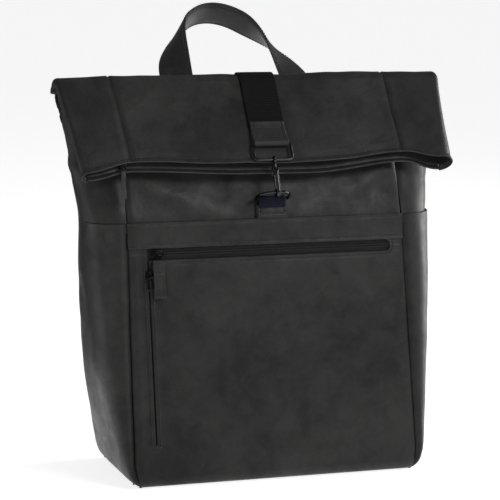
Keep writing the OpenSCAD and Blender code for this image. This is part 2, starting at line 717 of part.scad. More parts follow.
// Webbing from the buckle to the tab in the side seam
module strap_webbing(side) {
    high = adjuster_p - [0, 3.6, 14];
    low = [tab_x + 2, back_y(tab_z) + 6, tab_z + 4];
    across = unit([high[2] - low[2], 0, low[0] - high[0]]) * lower_web_w / 2;
    function row(p, out) = [p - across + [0, out, 0], p + across + [0, out, 0]];
    color(WEBBING) mirror([side < 0 ? 1 : 0, 0, 0])
        sheet([row(low, webbing_t / 2), row(high, webbing_t / 2)],
            [row(low, -webbing_t / 2), row(high, -webbing_t / 2)]);
}
module strap_webbing_left() { strap_webbing(-1); }
module strap_webbing_right() { strap_webbing(1); }
module strap_tail(side) {
    color(WEBBING) translate([side * adjuster_p[0] - lower_web_w / 2, adjuster_p[1] + 2.4, 44])
        cube([lower_web_w, webbing_t, adjuster_p[2] - 44]);
}
module strap_tail_left() { strap_tail(-1); }
module strap_tail_right() { strap_tail(1); }
// A leather tab sewn into the side seam, where the webbing starts
module lower_tab(side) {
    color(LEATHER) mirror([side < 0 ? 1 : 0, 0, 0]) on_back() translate([0, 0, -4.6]) linear_extrude(4)
        polygon([[128, tab_z - 30], [150, tab_z - 34], [tab_x + 6, tab_z - 10], [tab_x + 6, tab_z + 12],
            [150, tab_z + 26], [128, tab_z + 22]]);
}
module lower_tab_left() { lower_tab(-1); }
module lower_tab_right() { lower_tab(1); }

base_board();
bottom_panel();
front_panel();
zip_band();
upper_front_panel();
lower_gusset_left();
lower_gusset_right();
upper_gusset_left();
upper_gusset_right();
back_panel();
lining();
laptop_divider();
slip_pocket();
front_pocket_bag();
quick_pocket_bag();
front_zip_tape();
front_zip_coil();
quick_zip_tape();
quick_zip_coil();
keeper_patch();
keeper_loop();
back_pad_left();
back_pad_right();
strap_yoke();
handle_anchors();
lower_tab_left();
lower_tab_right();
closure_anchor();
flap_outer_panel();
flap_inner_panel();
flap_end_left();
flap_end_right();
mouth_zip_tapes();
mouth_zip_coil();
outer_fold();
inner_fold();
closure_fold();
closure_webbing();
closure_tip();
closure_ring();
hook_eye();
snap_hook();
hook_gate();
d_ring();
front_zip_slider();
front_zip_pull();
quick_zip_slider();
quick_zip_pull();
mouth_zip_slider();
mouth_zip_pull();
handle();
shoulder_strap_left();
shoulder_strap_right();
strap_adjuster_left();
strap_adjuster_right();
strap_webbing_left();
strap_webbing_right();
strap_tail_left();
strap_tail_right();
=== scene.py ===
"""Roll-top leather backpack: its looks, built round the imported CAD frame.

Shapes are worked out in millimetres, as in the CAD, and become metres in one place, to_mesh().
-Y is the front, +X is to the right seen from the front and +Z is up.
"""
import json
import math

import bmesh
import bpy
import numpy as np
from mathutils import Matrix, Vector, noise


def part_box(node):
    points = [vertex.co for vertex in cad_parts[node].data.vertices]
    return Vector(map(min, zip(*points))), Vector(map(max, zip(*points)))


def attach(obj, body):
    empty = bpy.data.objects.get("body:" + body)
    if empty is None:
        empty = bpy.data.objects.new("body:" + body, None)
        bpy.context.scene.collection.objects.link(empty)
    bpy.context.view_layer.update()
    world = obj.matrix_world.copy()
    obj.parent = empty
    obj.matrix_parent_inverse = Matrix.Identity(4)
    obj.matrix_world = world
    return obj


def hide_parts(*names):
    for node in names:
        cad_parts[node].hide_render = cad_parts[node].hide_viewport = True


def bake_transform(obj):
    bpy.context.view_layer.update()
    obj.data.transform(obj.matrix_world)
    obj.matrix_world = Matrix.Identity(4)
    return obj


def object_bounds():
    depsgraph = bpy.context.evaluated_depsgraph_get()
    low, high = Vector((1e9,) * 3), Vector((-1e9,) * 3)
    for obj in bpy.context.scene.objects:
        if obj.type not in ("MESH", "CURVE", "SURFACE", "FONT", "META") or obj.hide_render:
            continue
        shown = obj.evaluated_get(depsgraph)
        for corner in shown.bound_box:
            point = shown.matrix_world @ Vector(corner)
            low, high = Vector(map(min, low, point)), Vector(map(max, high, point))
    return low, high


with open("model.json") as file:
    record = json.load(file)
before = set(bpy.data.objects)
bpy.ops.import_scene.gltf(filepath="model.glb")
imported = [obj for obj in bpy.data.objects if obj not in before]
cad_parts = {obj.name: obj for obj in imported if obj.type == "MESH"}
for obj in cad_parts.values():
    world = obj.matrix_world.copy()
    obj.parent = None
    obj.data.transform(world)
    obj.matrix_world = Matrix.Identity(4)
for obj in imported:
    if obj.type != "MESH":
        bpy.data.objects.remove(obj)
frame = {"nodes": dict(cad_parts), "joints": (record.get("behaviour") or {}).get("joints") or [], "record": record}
cad_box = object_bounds()
joints = {j["name"]: j for j in frame["joints"]}


def node_box(name):
    """Lowest and highest corner of a CAD node, in millimetres."""
    low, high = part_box(name)
    return np.array(low) * 1000, np.array(high) * 1000


def pivot(name):
    """A joint's place, in millimetres."""
    return np.array(joints[name]["pos_m"]) * 1000


# ---- camera, at the photograph's angle ----

CAMERA_AZIMUTH = math.radians(-18)
CAMERA_ELEVATION = math.radians(9)
CAMERA_ROLL = math.radians(0.5)
CAMERA_DISTANCE = 2.364
CAMERA_LENS = 162.7
# The point looked at, from the middle of the CAD box
CAMERA_AIM = Vector((-0.0103, -0.0375, -0.0120))


def add_camera():
    camera = bpy.data.objects.new("camera", bpy.data.cameras.new("camera"))
    bpy.context.scene.collection.objects.link(camera)
    target = (Vector(cad_box[0]) + Vector(cad_box[1])) / 2 + CAMERA_AIM
    back = Vector((
        math.sin(CAMERA_AZIMUTH) * math.cos(CAMERA_ELEVATION),
        -math.cos(CAMERA_AZIMUTH) * math.cos(CAMERA_ELEVATION),
        math.sin(CAMERA_ELEVATION)))
    right = (-back).cross(Vector((0, 0, 1))).normalized()
    up = right.cross(-back)
    c, s = math.cos(CAMERA_ROLL), math.sin(CAMERA_ROLL)
    axes = Matrix((right * c + up * s, up * c - right * s, back)).transposed()
    camera.matrix_world = Matrix.Translation(target + back * CAMERA_DISTANCE) @ axes.to_4x4()
    camera.data.sensor_width = 36
    camera.data.lens = CAMERA_LENS
    camera.data.clip_end = 120
    bpy.context.scene.camera = camera


add_camera()

# ---- sizes, from the frame where it holds them ----

FOLD_Y, FOLD_Z = pivot("flap_open")[1:]
FOLD_R = 14.0
INNER_R = 3.0
FLAP_T = 1.6
LEAN = math.radians(35)
FOLD_TURN = math.pi - LEAN
OUTER_LEN = 94.0
INNER_LEN = 103.0
MOUTH_HALF = 210.0
FLAP_END_HALF = 203.0
# The flap's two upright seams, and how far down the flap the mouth zip's parts lie
FLAP_SEAMS = (-153.3, 147)
MOUTH_TAPE = (70, 88.3)
MOUTH_COIL_L = 89.2
MOUTH_PULL_L = 94.8

BAND_Z = node_box("upper_front_panel")[0][2]
FRONT_BASE_Y = -72.0
FRONT_BAND_Y = -22.0
BACK_BASE_Y = 72.0
BACK_TOP_Y = 56.0
BELLY_HALF = 190.0
BASE_HALF = 160.0
SEAM_BASE_X, SEAM_TOP_X = 154.0, 150.0
BASE_R = 10.0
LEATHER_T = 2.0
UPPER_SLOPE = 0.3
UPPER_CURVE = (FOLD_Y + INNER_R - FRONT_BAND_Y - UPPER_SLOPE * (FOLD_Z - BAND_Z)) / (FOLD_Z - BAND_Z) ** 2
FRONT_TILT = math.atan2(FRONT_BAND_Y - FRONT_BASE_Y, BAND_Z)
BACK_TILT = math.atan2(BACK_BASE_Y - BACK_TOP_Y, FOLD_Z)
BACK_OUT = (0, math.cos(BACK_TILT), math.sin(BACK_TILT))

# Zip openings: heights are square up, not along the face
SLOT_TOP_Z = 240.0
SLOT_LOW_Z = SLOT_TOP_Z - 13 * math.cos(FRONT_TILT)
SLOT_X0, SLOT_X1 = -129.0, 135.0
SLIT_X = -129.5
SLIT_HALF = 1.2
SLIT_LOW_Z = 44 * math.cos(FRONT_TILT)

STRAP_X = pivot("strap_lift")[0]
WEB_HALF = 19.0
WEB_T = 1.6
WEB_OFF = FOLD_R + 0.3
RING_L = 77.0
RING_H = 20.0
BAR_OFF = FOLD_R + 4.2
RING_WIRE = 1.4
RING_HALF = 38.6 / 2 + RING_WIRE

# ---- the bag's outside, as functions of height ----


def front_y(z):
    rise = np.maximum(z - BAND_Z, 0)
    low = FRONT_BASE_Y + (FRONT_BAND_Y - FRONT_BASE_Y) * np.minimum(z, BAND_Z) / BAND_Z
    return low + UPPER_SLOPE * rise + UPPER_CURVE * rise ** 2


def back_y(z):
    return BACK_BASE_Y + (BACK_TOP_Y - BACK_BASE_Y) * z / FOLD_Z


def half_w(z):
    belly = BELLY_HALF - (BELLY_HALF - BASE_HALF) * (1 - np.minimum(z, BAND_Z) / BAND_Z) ** 2
    return belly + (MOUTH_HALF - BELLY_HALF) * np.maximum(z - BAND_Z, 0) / (FOLD_Z - BAND_Z)


def seam_x(z):
    return SEAM_BASE_X + (SEAM_TOP_X - SEAM_BASE_X) * np.minimum(1, z / BAND_Z)


def edge_inset(z):
    """How far the walls draw in over the rounded bottom edge."""
    return BASE_R - np.sqrt(np.maximum(BASE_R ** 2 - np.maximum(BASE_R - z, 0) ** 2, 0))


def gusset_point(turn, z, inset=0.0):
    """A point of the right gusset: turn runs from 0 at the front seam to pi at the back seam."""
    e = 2 / (4.5 + (1.4 - 4.5) * np.power(np.clip(z / FOLD_Z, 0, 1), 0.7))
    side = np.power(np.abs(np.sin(turn)), e)
    along = (1 - np.sign(np.cos(turn)) * np.power(np.abs(np.cos(turn)), e)) / 2
    inset = inset + edge_inset(z)
    y0, y1 = front_y(z) + inset, back_y(z) - inset
    return seam_x(z) + (half_w(z) - inset - seam_x(z)) * side, y0 + (y1 - y0) * along


def flap_point(x, l, off):
    """A point of the rolled-down top: l below the roll, off square to the layer."""
    return np.stack(np.broadcast_arrays(
        x,
        FOLD_Y - off * math.cos(LEAN) - l * math.sin(LEAN),
        FOLD_Z + off * math.sin(LEAN) - l * math.cos(LEAN)), -1)


def roll_point(x, run, off):
    """A point of the leather that goes over the roll. run is 0 where the arc starts at the back, grows to 1
    where the flat flap starts, and beyond that it is 1 plus the length along the flap."""
    turn = FOLD_TURN * np.clip(run, 0, 1)
    arc = np.stack(np.broadcast_arrays(x, FOLD_Y + off * np.cos(turn), FOLD_Z + off * np.sin(turn)), -1)
    flat = flap_point(x, np.maximum(run - 1, 0), off)
    return np.where((np.asarray(run) > 1)[..., None], flat, arc)


def front_point(x, z, out=0.0):
    """A point of the sloping front face, out millimetres off it."""
    return np.stack(np.broadcast_arrays(
        x, front_y(z) - out * math.cos(FRONT_TILT), z + out * math.sin(FRONT_TILT)), -1)


def back_point(x, s, out=0.0):
    """A point of the back face, s up it and out millimetres off it."""
    return np.stack(np.broadcast_arrays(
        x,
        BACK_BASE_Y - s * math.sin(BACK_TILT) + out * math.cos(BACK_TILT),
        s * math.cos(BACK_TILT) + out * math.sin(BACK_TILT)), -1)


# ---- building blocks ----


def samples(low, high, step, lines=(), near=(0.4, 1.0, 2.2)):
    """Places from low to high, no further apart than step, with more of them beside both ends and each line."""
    marks = [low, high]
    for line in (low, high, *lines):
        marks += [line + side * d for d in (0, *near) for side in (-1, 1)]
    marks = np.unique(np.round([m for m in marks if low <= m <= high], 3))
    out = []
    for a, b in zip(marks[:-1], marks[1:]):
        out += list(np.linspace(a, b, max(1, math.ceil((b - a) / step)), endpoint=False))
    return np.array(out + [marks[-1]])


def groove(distance, depth, width):
    return -depth * np.exp(-(np.asarray(distance) / width) ** 2)


def waves(points, scale, seed=0.0):
    """Smooth noise from -1 to 1 at each point; scale is the size of its waves in millimetres."""
    points = np.asarray(points)
    flat = points.reshape(-1, 3) / scale + seed
    return np.array([noise.noise(p) for p in flat]).reshape(points.shape[:-1])


def grid_normals(grid):
    """Normals of a grid whose rows climb and whose columns run to the right, seen from outside."""
    n = np.cross(np.gradient(grid, axis=1), np.gradient(grid, axis=0))
    return n / np.maximum(np.linalg.norm(n, axis=-1, keepdims=True), 1e-9)


def to_mesh(name, verts, faces, material, body, slot=None, smooth=True, edge=None, uv=None):
    """Makes a piece in metres, gives it its material and puts it on its body."""
    verts = np.array(verts, float)
    verts[:, 2] = np.maximum(verts[:, 2], 0)
    mesh = bpy.data.meshes.new(name)
    mesh.from_pydata([tuple(v) for v in verts * 0.001], [], [tuple(f) for f in faces])
    mesh.validate()
    if smooth:
        mesh.shade_smooth()
    if edge is not None:
        layer = mesh.color_attributes.new("edge", "FLOAT_COLOR", "POINT")
        values = np.ones((len(verts), 4))
        values[:, :3] = np.asarray(edge, float)[:, None]
        layer.data.foreach_set("color", values.ravel())
    if uv is not None:
        layer = mesh.uv_layers.new(name="strip")
        index = np.empty(len(mesh.loops), int)
        mesh.loops.foreach_get("vertex_index", index)
        layer.data.foreach_set("uv", (np.asarray(uv, float) * 0.001)[index].ravel())
    mesh.materials.append(material)
    piece = bpy.data.objects.new(name, mesh)
    bpy.context.scene.collection.objects.link(piece)
    if body:
        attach(piece, body)
    return piece


def skin_data(grid, thick, keep=None, swell=0.35):
    """Vertices, faces, edge weights and strip coordinates of a sheet with rounded edges. grid is its outer
    face, and keep says which cells of it are there."""
    rows, cols = grid.shape[:2]
    count = rows * cols
    normal = grid_normals(grid)
    outer = grid.reshape(-1, 3)
    out_n = normal.reshape(-1, 3)
    cells = np.argwhere(np.ones((rows - 1, cols - 1), bool) if keep is None else keep)
    corner = cells[:, 0] * cols + cells[:, 1]
    quads = np.stack([corner, corner + 1, corner + cols + 1, corner + cols], 1)
    edges = {(int(q[k]), int(q[(k + 1) % 4])) for q in quads for k in range(4)}
    border = sorted(e for e in edges if (e[1], e[0]) not in edges)
    outward = {}
    for a, b in border:
        side = np.cross(outer[b] - outer[a], out_n[a])
        side /= max(np.linalg.norm(side), 1e-9)
        for k in (a, b):
            outward[k] = outward.get(k, 0) + side
    rim = {k: 2 * count + n for n, k in enumerate(outward)}
    rim_points = [outer[k] - out_n[k] * thick / 2 + v / max(np.linalg.norm(v), 1e-9) * thick * swell
                  for k, v in outward.items()]
    verts = np.concatenate([outer, outer - out_n * thick, np.array(rim_points).reshape(-1, 3)])
    faces = [tuple(q) for q in quads] + [tuple(q[::-1] + count) for q in quads]
    for a, b in border:
        faces += [(b, a, rim[a], rim[b]), (rim[b], rim[a], a + count, b + count)]
    # Edge weights: the leather material paints the rims paler from them, a painted highlight together with patchy
    # wear
    edge = np.zeros(len(verts))
    edge[2 * count:] = 1
    for k in outward:
        edge[k] = edge[k + count] = 0.6
    wide, high = (np.linalg.norm(np.diff(grid, axis=axis), axis=-1) for axis in (1, 0))
    across = np.concatenate([np.zeros((rows, 1)), np.cumsum(wide, 1)], 1)
    along = np.concatenate([np.zeros((1, cols)), np.cumsum(high, 0)], 0)
    strip = np.stack([across, along], -1).reshape(-1, 2)
    uv = np.concatenate([strip, strip, np.array([strip[k] for k in outward]).reshape(-1, 2)])
    used = np.zeros(len(verts), bool)
    used[np.unique(np.concatenate([np.array(f) for f in faces]))] = True
    index = np.cumsum(used) - 1
    return verts[used], [tuple(index[list(f)]) for f in faces], edge[used], uv[used]


def skin(name, grid, thick, material, body, slot="leather", keep=None, swell=0.35):
    verts, faces, edge, uv = skin_data(grid, thick, keep, swell)
    return to_mesh(name, verts, faces, material, body, slot, edge=edge, uv=uv)


def merged(parts):
    """One set of vertices and faces from several."""
    verts, faces, start = [], [], 0
    for v, f in parts:
        verts.append(np.asarray(v, float))
        faces += [tuple(i + start for i in face) for face in f]
        start += len(v)
    return np.concatenate(verts), faces


def frames_along(path, closed=False, up=None):
    """Tangent and two square directions at each point of a path, without twist."""
    path = np.asarray(path, float)
    if closed:
        tangent = np.roll(path, -1, 0) - np.roll(path, 1, 0)
    else:
        tangent = np.gradient(path, axis=0)
    tangent /= np.linalg.norm(tangent, axis=1, keepdims=True)
    side = np.cross(tangent[0], up if up is not None else (0.31, 0.52, 0.79))
    sides = []
    for t in tangent:
        side = side - t * np.dot(side, t)
        side = side / np.linalg.norm(side)
        sides.append(side)
    sides = np.array(sides)
    return tangent, sides, np.cross(tangent, sides)


def ring_faces(around, count, closed=False):
    """Faces between rings of points, with a cap at both ends unless the rings close on themselves."""
    faces = []
    for i in range(count if closed else count - 1):
        low, high = i * around, (i + 1) % count * around
        faces += [(low + k, low + (k + 1) % around, high + (k + 1) % around, high + k) for k in range(around)]
    if not closed:
        faces += [tuple(range(around))[::-1], tuple((count - 1) * around + k for k in range(around))]
    return faces


def tube_data(path, radius, around=14, closed=False, up=None, squash=1.0):
    """A round or oval wire along a path, with domed ends if it is open. radius may differ at each point."""
    path = np.asarray(path, float)
    radius = np.broadcast_to(np.asarray(radius, float), len(path)).copy()
    if not closed:
        ends = []
        for tip, nxt, r in ((path[0], path[1], radius[0]), (path[-1], path[-2], radius[-1])):
            d = (tip - nxt) / np.linalg.norm(tip - nxt)
            ends.append(([tip + d * r * math.sin(a) for a in (0.5, 1.0, 1.4)],
                         [r * math.cos(a) for a in (0.5, 1.0, 1.4)]))
        path = np.concatenate([ends[0][0][::-1], path, ends[1][0]])
        radius = np.concatenate([ends[0][1][::-1], radius, ends[1][1]])
    _, side, other = frames_along(path, closed, up)
    angle = np.linspace(0, 2 * math.pi, around, endpoint=False)
    rings = (path[:, None] + radius[:, None, None] * (
        np.cos(angle)[None, :, None] * side[:, None] + squash * np.sin(angle)[None, :, None] * other[:, None]))
    return rings.reshape(-1, 3), ring_faces(around, len(path), closed)


def resample(path, step):
    """The same route with points step apart, and how far along it each of them is."""
    path = np.asarray(path, float)
    run = np.concatenate([[0], np.cumsum(np.linalg.norm(np.diff(path, axis=0), axis=1))])
    count = max(2, int(round(run[-1] / step)) + 1)
    at = np.linspace(0, run[-1], count)
    return np.stack([np.interp(at, run, path[:, k]) for k in range(3)], 1), at


def rounded(cx, cy, w, h, r, steps=6):
    """A rectangle with round corners, as (x, y) pairs."""
    out = []
    for k, (sx, sy) in enumerate(((1, 1), (-1, 1), (-1, -1), (1, -1))):
        for t in np.radians(np.linspace(0, 90, steps)) + k * math.pi / 2:
            out.append((cx + sx * (w / 2 - r) + r * math.cos(t), cy + sy * (h / 2 - r) + r * math.sin(t)))
    return out


def closed_route(outline, step):
    """A closed outline of (x, y) pairs, with points step apart."""
    return resample(np.array([(x, y, 0) for x, y in [*outline, outline[0]]]), step)[0][:-1, :2]


def sewn_sides(corners, count, place, out):
    """A run for stitches() along each straight side between corners; place(x, y) puts it in space."""
    k = np.linspace(0, 1, count)
    return [(place(x0 + (x1 - x0) * k, y0 + (y1 - y0) * k), out)
            for (x0, y0), (x1, y1) in zip(corners[:-1], corners[1:])]


STITCH_PITCH = 3.4


# A stitch's middle line, as shares of its length and of its thread's radius, and its thickness
STITCH_BOW = [(-0.5, -0.5), (-0.36, 0.1), (-0.12, 0.4), (0.12, 0.4), (0.36, 0.1), (0.5, -0.5)]
STITCH_TAPER = np.array([0.7, 1, 1, 1, 1, 0.7])


def stitches(name, runs, body, thread=0.34, length=2.1, material=None):
    """Rows of separate stitches. Each run is (path, out): out is the direction out of the leather."""
    parts = []
    for path, out in runs:
        points, _ = resample(path, STITCH_PITCH)
        out = np.broadcast_to(np.asarray(out, float), (len(path), 3))
        base = np.linspace(0, 1, len(path))
        for n in range(1, len(points)):
            before, after = points[n - 1], points[n]
            middle = (before + after) / 2
            t = (after - before) / np.linalg.norm(after - before)
            where = (n - 0.5) / (len(points) - 1)
            up = np.array([np.interp(where, base, out[:, k]) for k in range(3)])
            up = up - t * np.dot(up, t)
            up /= np.linalg.norm(up)
            line = [middle + t * length * a + up * thread * b for a, b in STITCH_BOW]
            parts.append(tube_data(line, thread * STITCH_TAPER, around=6, up=up))
    verts, faces = merged(parts)
    return to_mesh(name, verts, faces, material or MAT["thread"], body, "leather")


# ---- materials ----


class Graph:
    """A material's nodes, made and linked in short lines."""

    def __init__(self, name):
        self.material = bpy.data.materials.new(name)
        self.material.use_nodes = True
        self.tree = self.material.node_tree
        self.shader = self.tree.nodes["Principled BSDF"]

    def add(self, kind, settings=None, **inputs):
        node = self.tree.nodes.new("ShaderNode" + kind)
        for key, value in (settings or {}).items():
            setattr(node, key, value)
        for key, value in inputs.items():
            self.feed(node, key.replace("_", " "), value)
        return node

    def feed(self, node, key, value):
        """Sets one input, from a plain value or another node's first output or a given socket."""
        socket = node.inputs[int(key[1:])] if key[0] == "i" and key[1:].isdigit() else node.inputs[key]
        if isinstance(value, bpy.types.Node):
            value = value.outputs[0]
        if isinstance(value, bpy.types.NodeSocket):
            self.tree.links.new(value, socket)
        else:
            socket.default_value = value

    def shade(self, **inputs):
        for key, value in inputs.items():
            self.feed(self.shader, key.replace("_", " "), value)
        return self.material

    def place(self):
        return self.add("TexCoord").outputs["Object"]

    def strip(self):
        """Metres across and along a strip, from its UV layer."""
        return self.add("UVMap", {"uv_map": "strip"}).outputs["UV"]

    def noise(self, scale, detail=3.0, rough=0.55, place=None, distortion=0.0):
        return self.add("TexNoise", Vector=place or self.place(), Scale=scale, Detail=detail,
                        Roughness=rough, Distortion=distortion).outputs["Fac"]

    def remap(self, value, low, high, to_low, to_high):
        return self.add("MapRange", i0=value, i1=low, i2=high, i3=to_low, i4=to_high).outputs[0]

    def math(self, kind, a, b=0.0):
        return self.add("Math", {"operation": kind}, i0=a, i1=b).outputs[0]

    def blend(self, fac, a, b):
        node = self.add("Mix", {"data_type": "RGBA"})
        self.feed(node, "i0", fac)
        self.feed(node, "i6", a)
        self.feed(node, "i7", b)
        return node.outputs[2]

    def bump(self, height, distance, strength=1.0, normal=None):
        node = self.add("Bump", Height=height, Distance=distance, Strength=strength)
        if normal is not None:
            self.feed(node, "Normal", normal)
        return node.outputs["Normal"]


def grey(value, warm=0.0):
    return (value * (1 + warm), value, value * (1 - warm), 1)


def leather_material(name, dark, light, rough, grain=1.0):
    """Smooth charcoal leather: fine pebbled grain, soft mottling, and paler, shinier edges: a painted highlight
    where the rims catch light, broken up like wear.
    """
    g = Graph(name)
    mottle = g.noise(11, 4, 0.62, distortion=0.3)
    cloud = g.noise(55, 6, 0.66, distortion=0.5)
    pores = g.add("TexVoronoi", {"feature": "F1"}, Vector=g.place(), Scale=1150, Randomness=1.0)
    pores = pores.outputs["Distance"]
    fine = g.noise(2100, 2, 0.6)
    tone = g.math("ADD", g.math("MULTIPLY", mottle, 0.6), g.math("MULTIPLY", cloud, 0.4))
    tone = g.remap(tone, 0.38, 0.62, 0, 1)
    color = g.blend(tone, dark, light)
    # Rims are painted paler: a painted highlight where the edges catch light, broken up by noise like wear
    edge = g.add("Attribute", {"attribute_name": "edge"}).outputs["Fac"]
    wear_and_highlight = g.math("MULTIPLY", edge, g.remap(g.noise(90, 3), 0.35, 0.7, 0.25, 1.0))
    color = g.blend(g.math("MULTIPLY", wear_and_highlight, 0.4), color, tuple(min(1, c * 1.7) for c in light[:3]) + (1,))
    gloss = g.remap(g.math("ADD", mottle, cloud), 0.75, 1.25, rough + 0.10, rough - 0.09)
    gloss = g.math("ADD", gloss, g.remap(fine, 0.3, 0.7, -0.03, 0.04))
    hide = g.math("MULTIPLY", g.remap(pores, 0.0, 0.55, 0.0, 1.0), 0.7)
    hide = g.math("ADD", hide, g.math("MULTIPLY", fine, 0.5))
    normal = g.bump(g.noise(38, 4, 0.6, distortion=0.8), 0.0011, 0.55)
    normal = g.bump(g.noise(190, 3, 0.55, distortion=0.5), 0.00022, 0.6, normal)
    normal = g.bump(hide, 0.00010 * grain, 0.6, normal)
    return g.shade(Base_Color=color, Roughness=gloss, Normal=normal, Specular_IOR_Level=0.25,
                   Sheen_Weight=0.03, Sheen_Roughness=0.5)


def webbing_material(name, base, light, rib=0.0021, gloss=0.62):
    """Woven webbing with ribs across its width; uses the strip's own coordinates."""
    g = Graph(name)
    strip = g.add("SeparateXYZ", i0=g.strip())
    x, y = strip.outputs[0], strip.outputs[1]
    ribs = g.math("SINE", g.math("MULTIPLY", y, 2 * math.pi / rib))
    yarn_x = g.math("SINE", g.math("MULTIPLY", x, 2 * math.pi / 0.0012))
    offset = g.math("MULTIPLY", yarn_x, ribs)
    weave = g.math("ADD", g.math("MULTIPLY", ribs, 0.7), g.math("MULTIPLY", offset, 0.3))
    fuzz = g.noise(1800, 2, 0.6)
    tone = g.remap(g.math("ADD", weave, g.math("MULTIPLY", fuzz, 1.2)), -0.6, 1.7, 0, 1)
    normal = g.bump(weave, 0.00022, 0.9)
    normal = g.bump(fuzz, 0.00008, 0.5, normal)
    return g.shade(Base_Color=g.blend(tone, base, light), Roughness=gloss, Normal=normal,
                   Specular_IOR_Level=0.12, Sheen_Weight=0.02, Sheen_Roughness=0.35)


def cloth_material(name, base, light, pitch=0.0011):
    """Plain weave from object coordinates, for linings and tapes."""
    g = Graph(name)
    where = g.add("SeparateXYZ", i0=g.place())
    warp = g.math("SINE", g.math("MULTIPLY", where.outputs[0], 2 * math.pi / pitch))
    weft = g.math("ADD", where.outputs[2], where.outputs[1])
    weft = g.math("SINE", g.math("MULTIPLY", weft, 2 * math.pi / pitch))
    weave = g.math("MULTIPLY", warp, weft)
    cloud = g.noise(120, 3)
    tone = g.remap(g.math("ADD", weave, g.math("MULTIPLY", cloud, 2.0)), -0.6, 2.2, 0, 1)
    return g.shade(Base_Color=g.blend(tone, base, light), Roughness=0.62, Specular_IOR_Level=0.3,
                   Normal=g.bump(weave, 0.00008, 0.6), Sheen_Weight=0.05, Sheen_Roughness=0.4)


def mesh_material(name, base, light):
    """Air mesh: rows of small dark holes in a knitted face."""
    g = Graph(name)
    where = g.add("Mapping", Vector=g.place(), Scale=(1, 0.15, 0.8))
    cell = g.add("TexVoronoi", {"feature": "F1"}, Vector=where, Scale=420, Randomness=0.28).outputs["Distance"]
    hole = g.remap(cell, 0.12, 0.42, 1.0, 0.0)
    knit = g.noise(1500, 2, 0.6)
    color = g.blend(g.remap(knit, 0.3, 0.7, 0, 1), base, light)
    color = g.blend(hole, color, grey(0.0035))
    normal = g.bump(g.math("SUBTRACT", g.math("MULTIPLY", knit, 0.3), hole), 0.0006, 0.8)
    return g.shade(Base_Color=color, Roughness=0.82, Normal=normal, Sheen_Weight=0.35, Sheen_Roughness=0.4)


def metal_material(name, base, rough):
    g = Graph(name)
    smear = g.noise(160, 4, 0.6)
    drawn = g.add("Mapping", Vector=g.place(), Scale=(1, 1, 7))
    scratch = g.add("TexNoise", Vector=drawn, Scale=420, Detail=3).outputs["Fac"]
    rub = g.remap(g.math("ADD", smear, scratch), 0.7, 1.35, rough - 0.05, rough + 0.1)
    dark = tuple(c * 0.72 for c in base[:3]) + (1,)
    return g.shade(Base_Color=g.blend(g.remap(smear, 0.35, 0.7, 0, 1), dark, base), Metallic=1.0, Roughness=rub,
                   Normal=g.bump(scratch, 0.00003, 0.4))


def plastic_material(name, base):
    g = Graph(name)
    grain = g.noise(1400, 2, 0.6)
    return g.shade(Base_Color=g.blend(g.noise(70), base, tuple(c * 1.5 for c in base[:3]) + (1,)),
                   Roughness=g.remap(grain, 0.3, 0.7, 0.36, 0.5), Normal=g.bump(grain, 0.00006, 0.5))


def thread_material(name, base, light):
    g = Graph(name)
    twist = g.add("TexWave", {"wave_type": "BANDS", "bands_direction": "DIAGONAL"}, Vector=g.place(),
                  Scale=900, Distortion=1.0).outputs["Fac"]
    return g.shade(Base_Color=g.blend(twist, base, light), Roughness=0.48, Normal=g.bump(twist, 0.00008, 0.6),
                   Sheen_Weight=0.2)


MAT = {
    "leather": leather_material("leather", grey(0.0080, 0.02), grey(0.0300, 0.02), 0.45),
    "leather_tab": leather_material("leather_tab", grey(0.014, 0.03), grey(0.034, 0.03), 0.46),
    "thread": thread_material("thread", grey(0.010), grey(0.026)),
    "thread_pale": thread_material("thread_pale", grey(0.05), grey(0.10)),
    "webbing": webbing_material("webbing", grey(0.0022), grey(0.0065)),
    "webbing_plain": plastic_material("binding", grey(0.0035)),
    "navy": webbing_material("navy_webbing", (0.004, 0.004, 0.010, 1), (0.009, 0.009, 0.026, 1),
                             rib=0.0016, gloss=0.55),
    "tape": cloth_material("zip_tape", grey(0.004), grey(0.008), 0.0009),
    # A darker copy of the zip tape: painted shade for the quick zip's deep slit
    "tape_black": cloth_material("zip_tape_black", grey(0.0015), grey(0.003), 0.0009),
    "lining": cloth_material("lining", grey(0.03, -0.03), grey(0.06, -0.03), 0.0014),
    "mesh": mesh_material("air_mesh", grey(0.009), grey(0.02)),
    "gunmetal": metal_material("gunmetal", grey(0.055), 0.15),
    "dark_metal": metal_material("dark_metal", grey(0.028), 0.2),
    "coil": plastic_material("zip_coil", grey(0.012)),
    "plastic": plastic_material("moulded_plastic", grey(0.009)),
}


# ---- the bag's shell ----

SEAM_GAP = 0.6
SLIT_STITCH = 3.6
SLOT_STITCH_Z = SLOT_LOW_Z - 3.6
BAND_STITCH = 2.6
SLOT_MID_Z = (SLOT_TOP_Z + SLOT_LOW_Z) / 2
SLOT_HALF_Z = (SLOT_TOP_Z - SLOT_LOW_Z) / 2
BODY_TOP_Z = FOLD_Z - 0.3


def wall_heights(top, step, lines=()):
    """Heights from the floor to top, closer together round the bottom edge."""
    edge = [BASE_R * (1 - math.cos(math.radians(a))) for a in (0, 15, 30, 45, 60, 75)]
    return np.concatenate([edge, samples(BASE_R, top, step, lines)])


def corner_in(x, z):
    """The bottom corners of the bag are rounded in."""
    reach = np.clip((np.abs(x) - 118) / 36, 0, 1) ** 2
    return x - np.sign(x) * 7 * reach * np.clip(1 - z / 26, 0, 1) ** 2


def push_out(grid, amount):
    """Moves a surface out, except where it meets the floor."""
    amount = np.asarray(amount) * np.clip(grid[..., 2] / 14, 0, 1)
    grid = grid + grid_normals(grid) * amount[..., None]
    grid[..., 0] = corner_in(grid[..., 0], grid[..., 2])
    return grid


def spread(x, z):
    """Moves columns near the side seams along with the seams, and leaves the middle where it is."""
    edge = np.clip((np.abs(x) - 138) / (SEAM_TOP_X - 138), 0, 1)
    return x * (1 + (seam_x(z) / SEAM_TOP_X - 1) * edge)


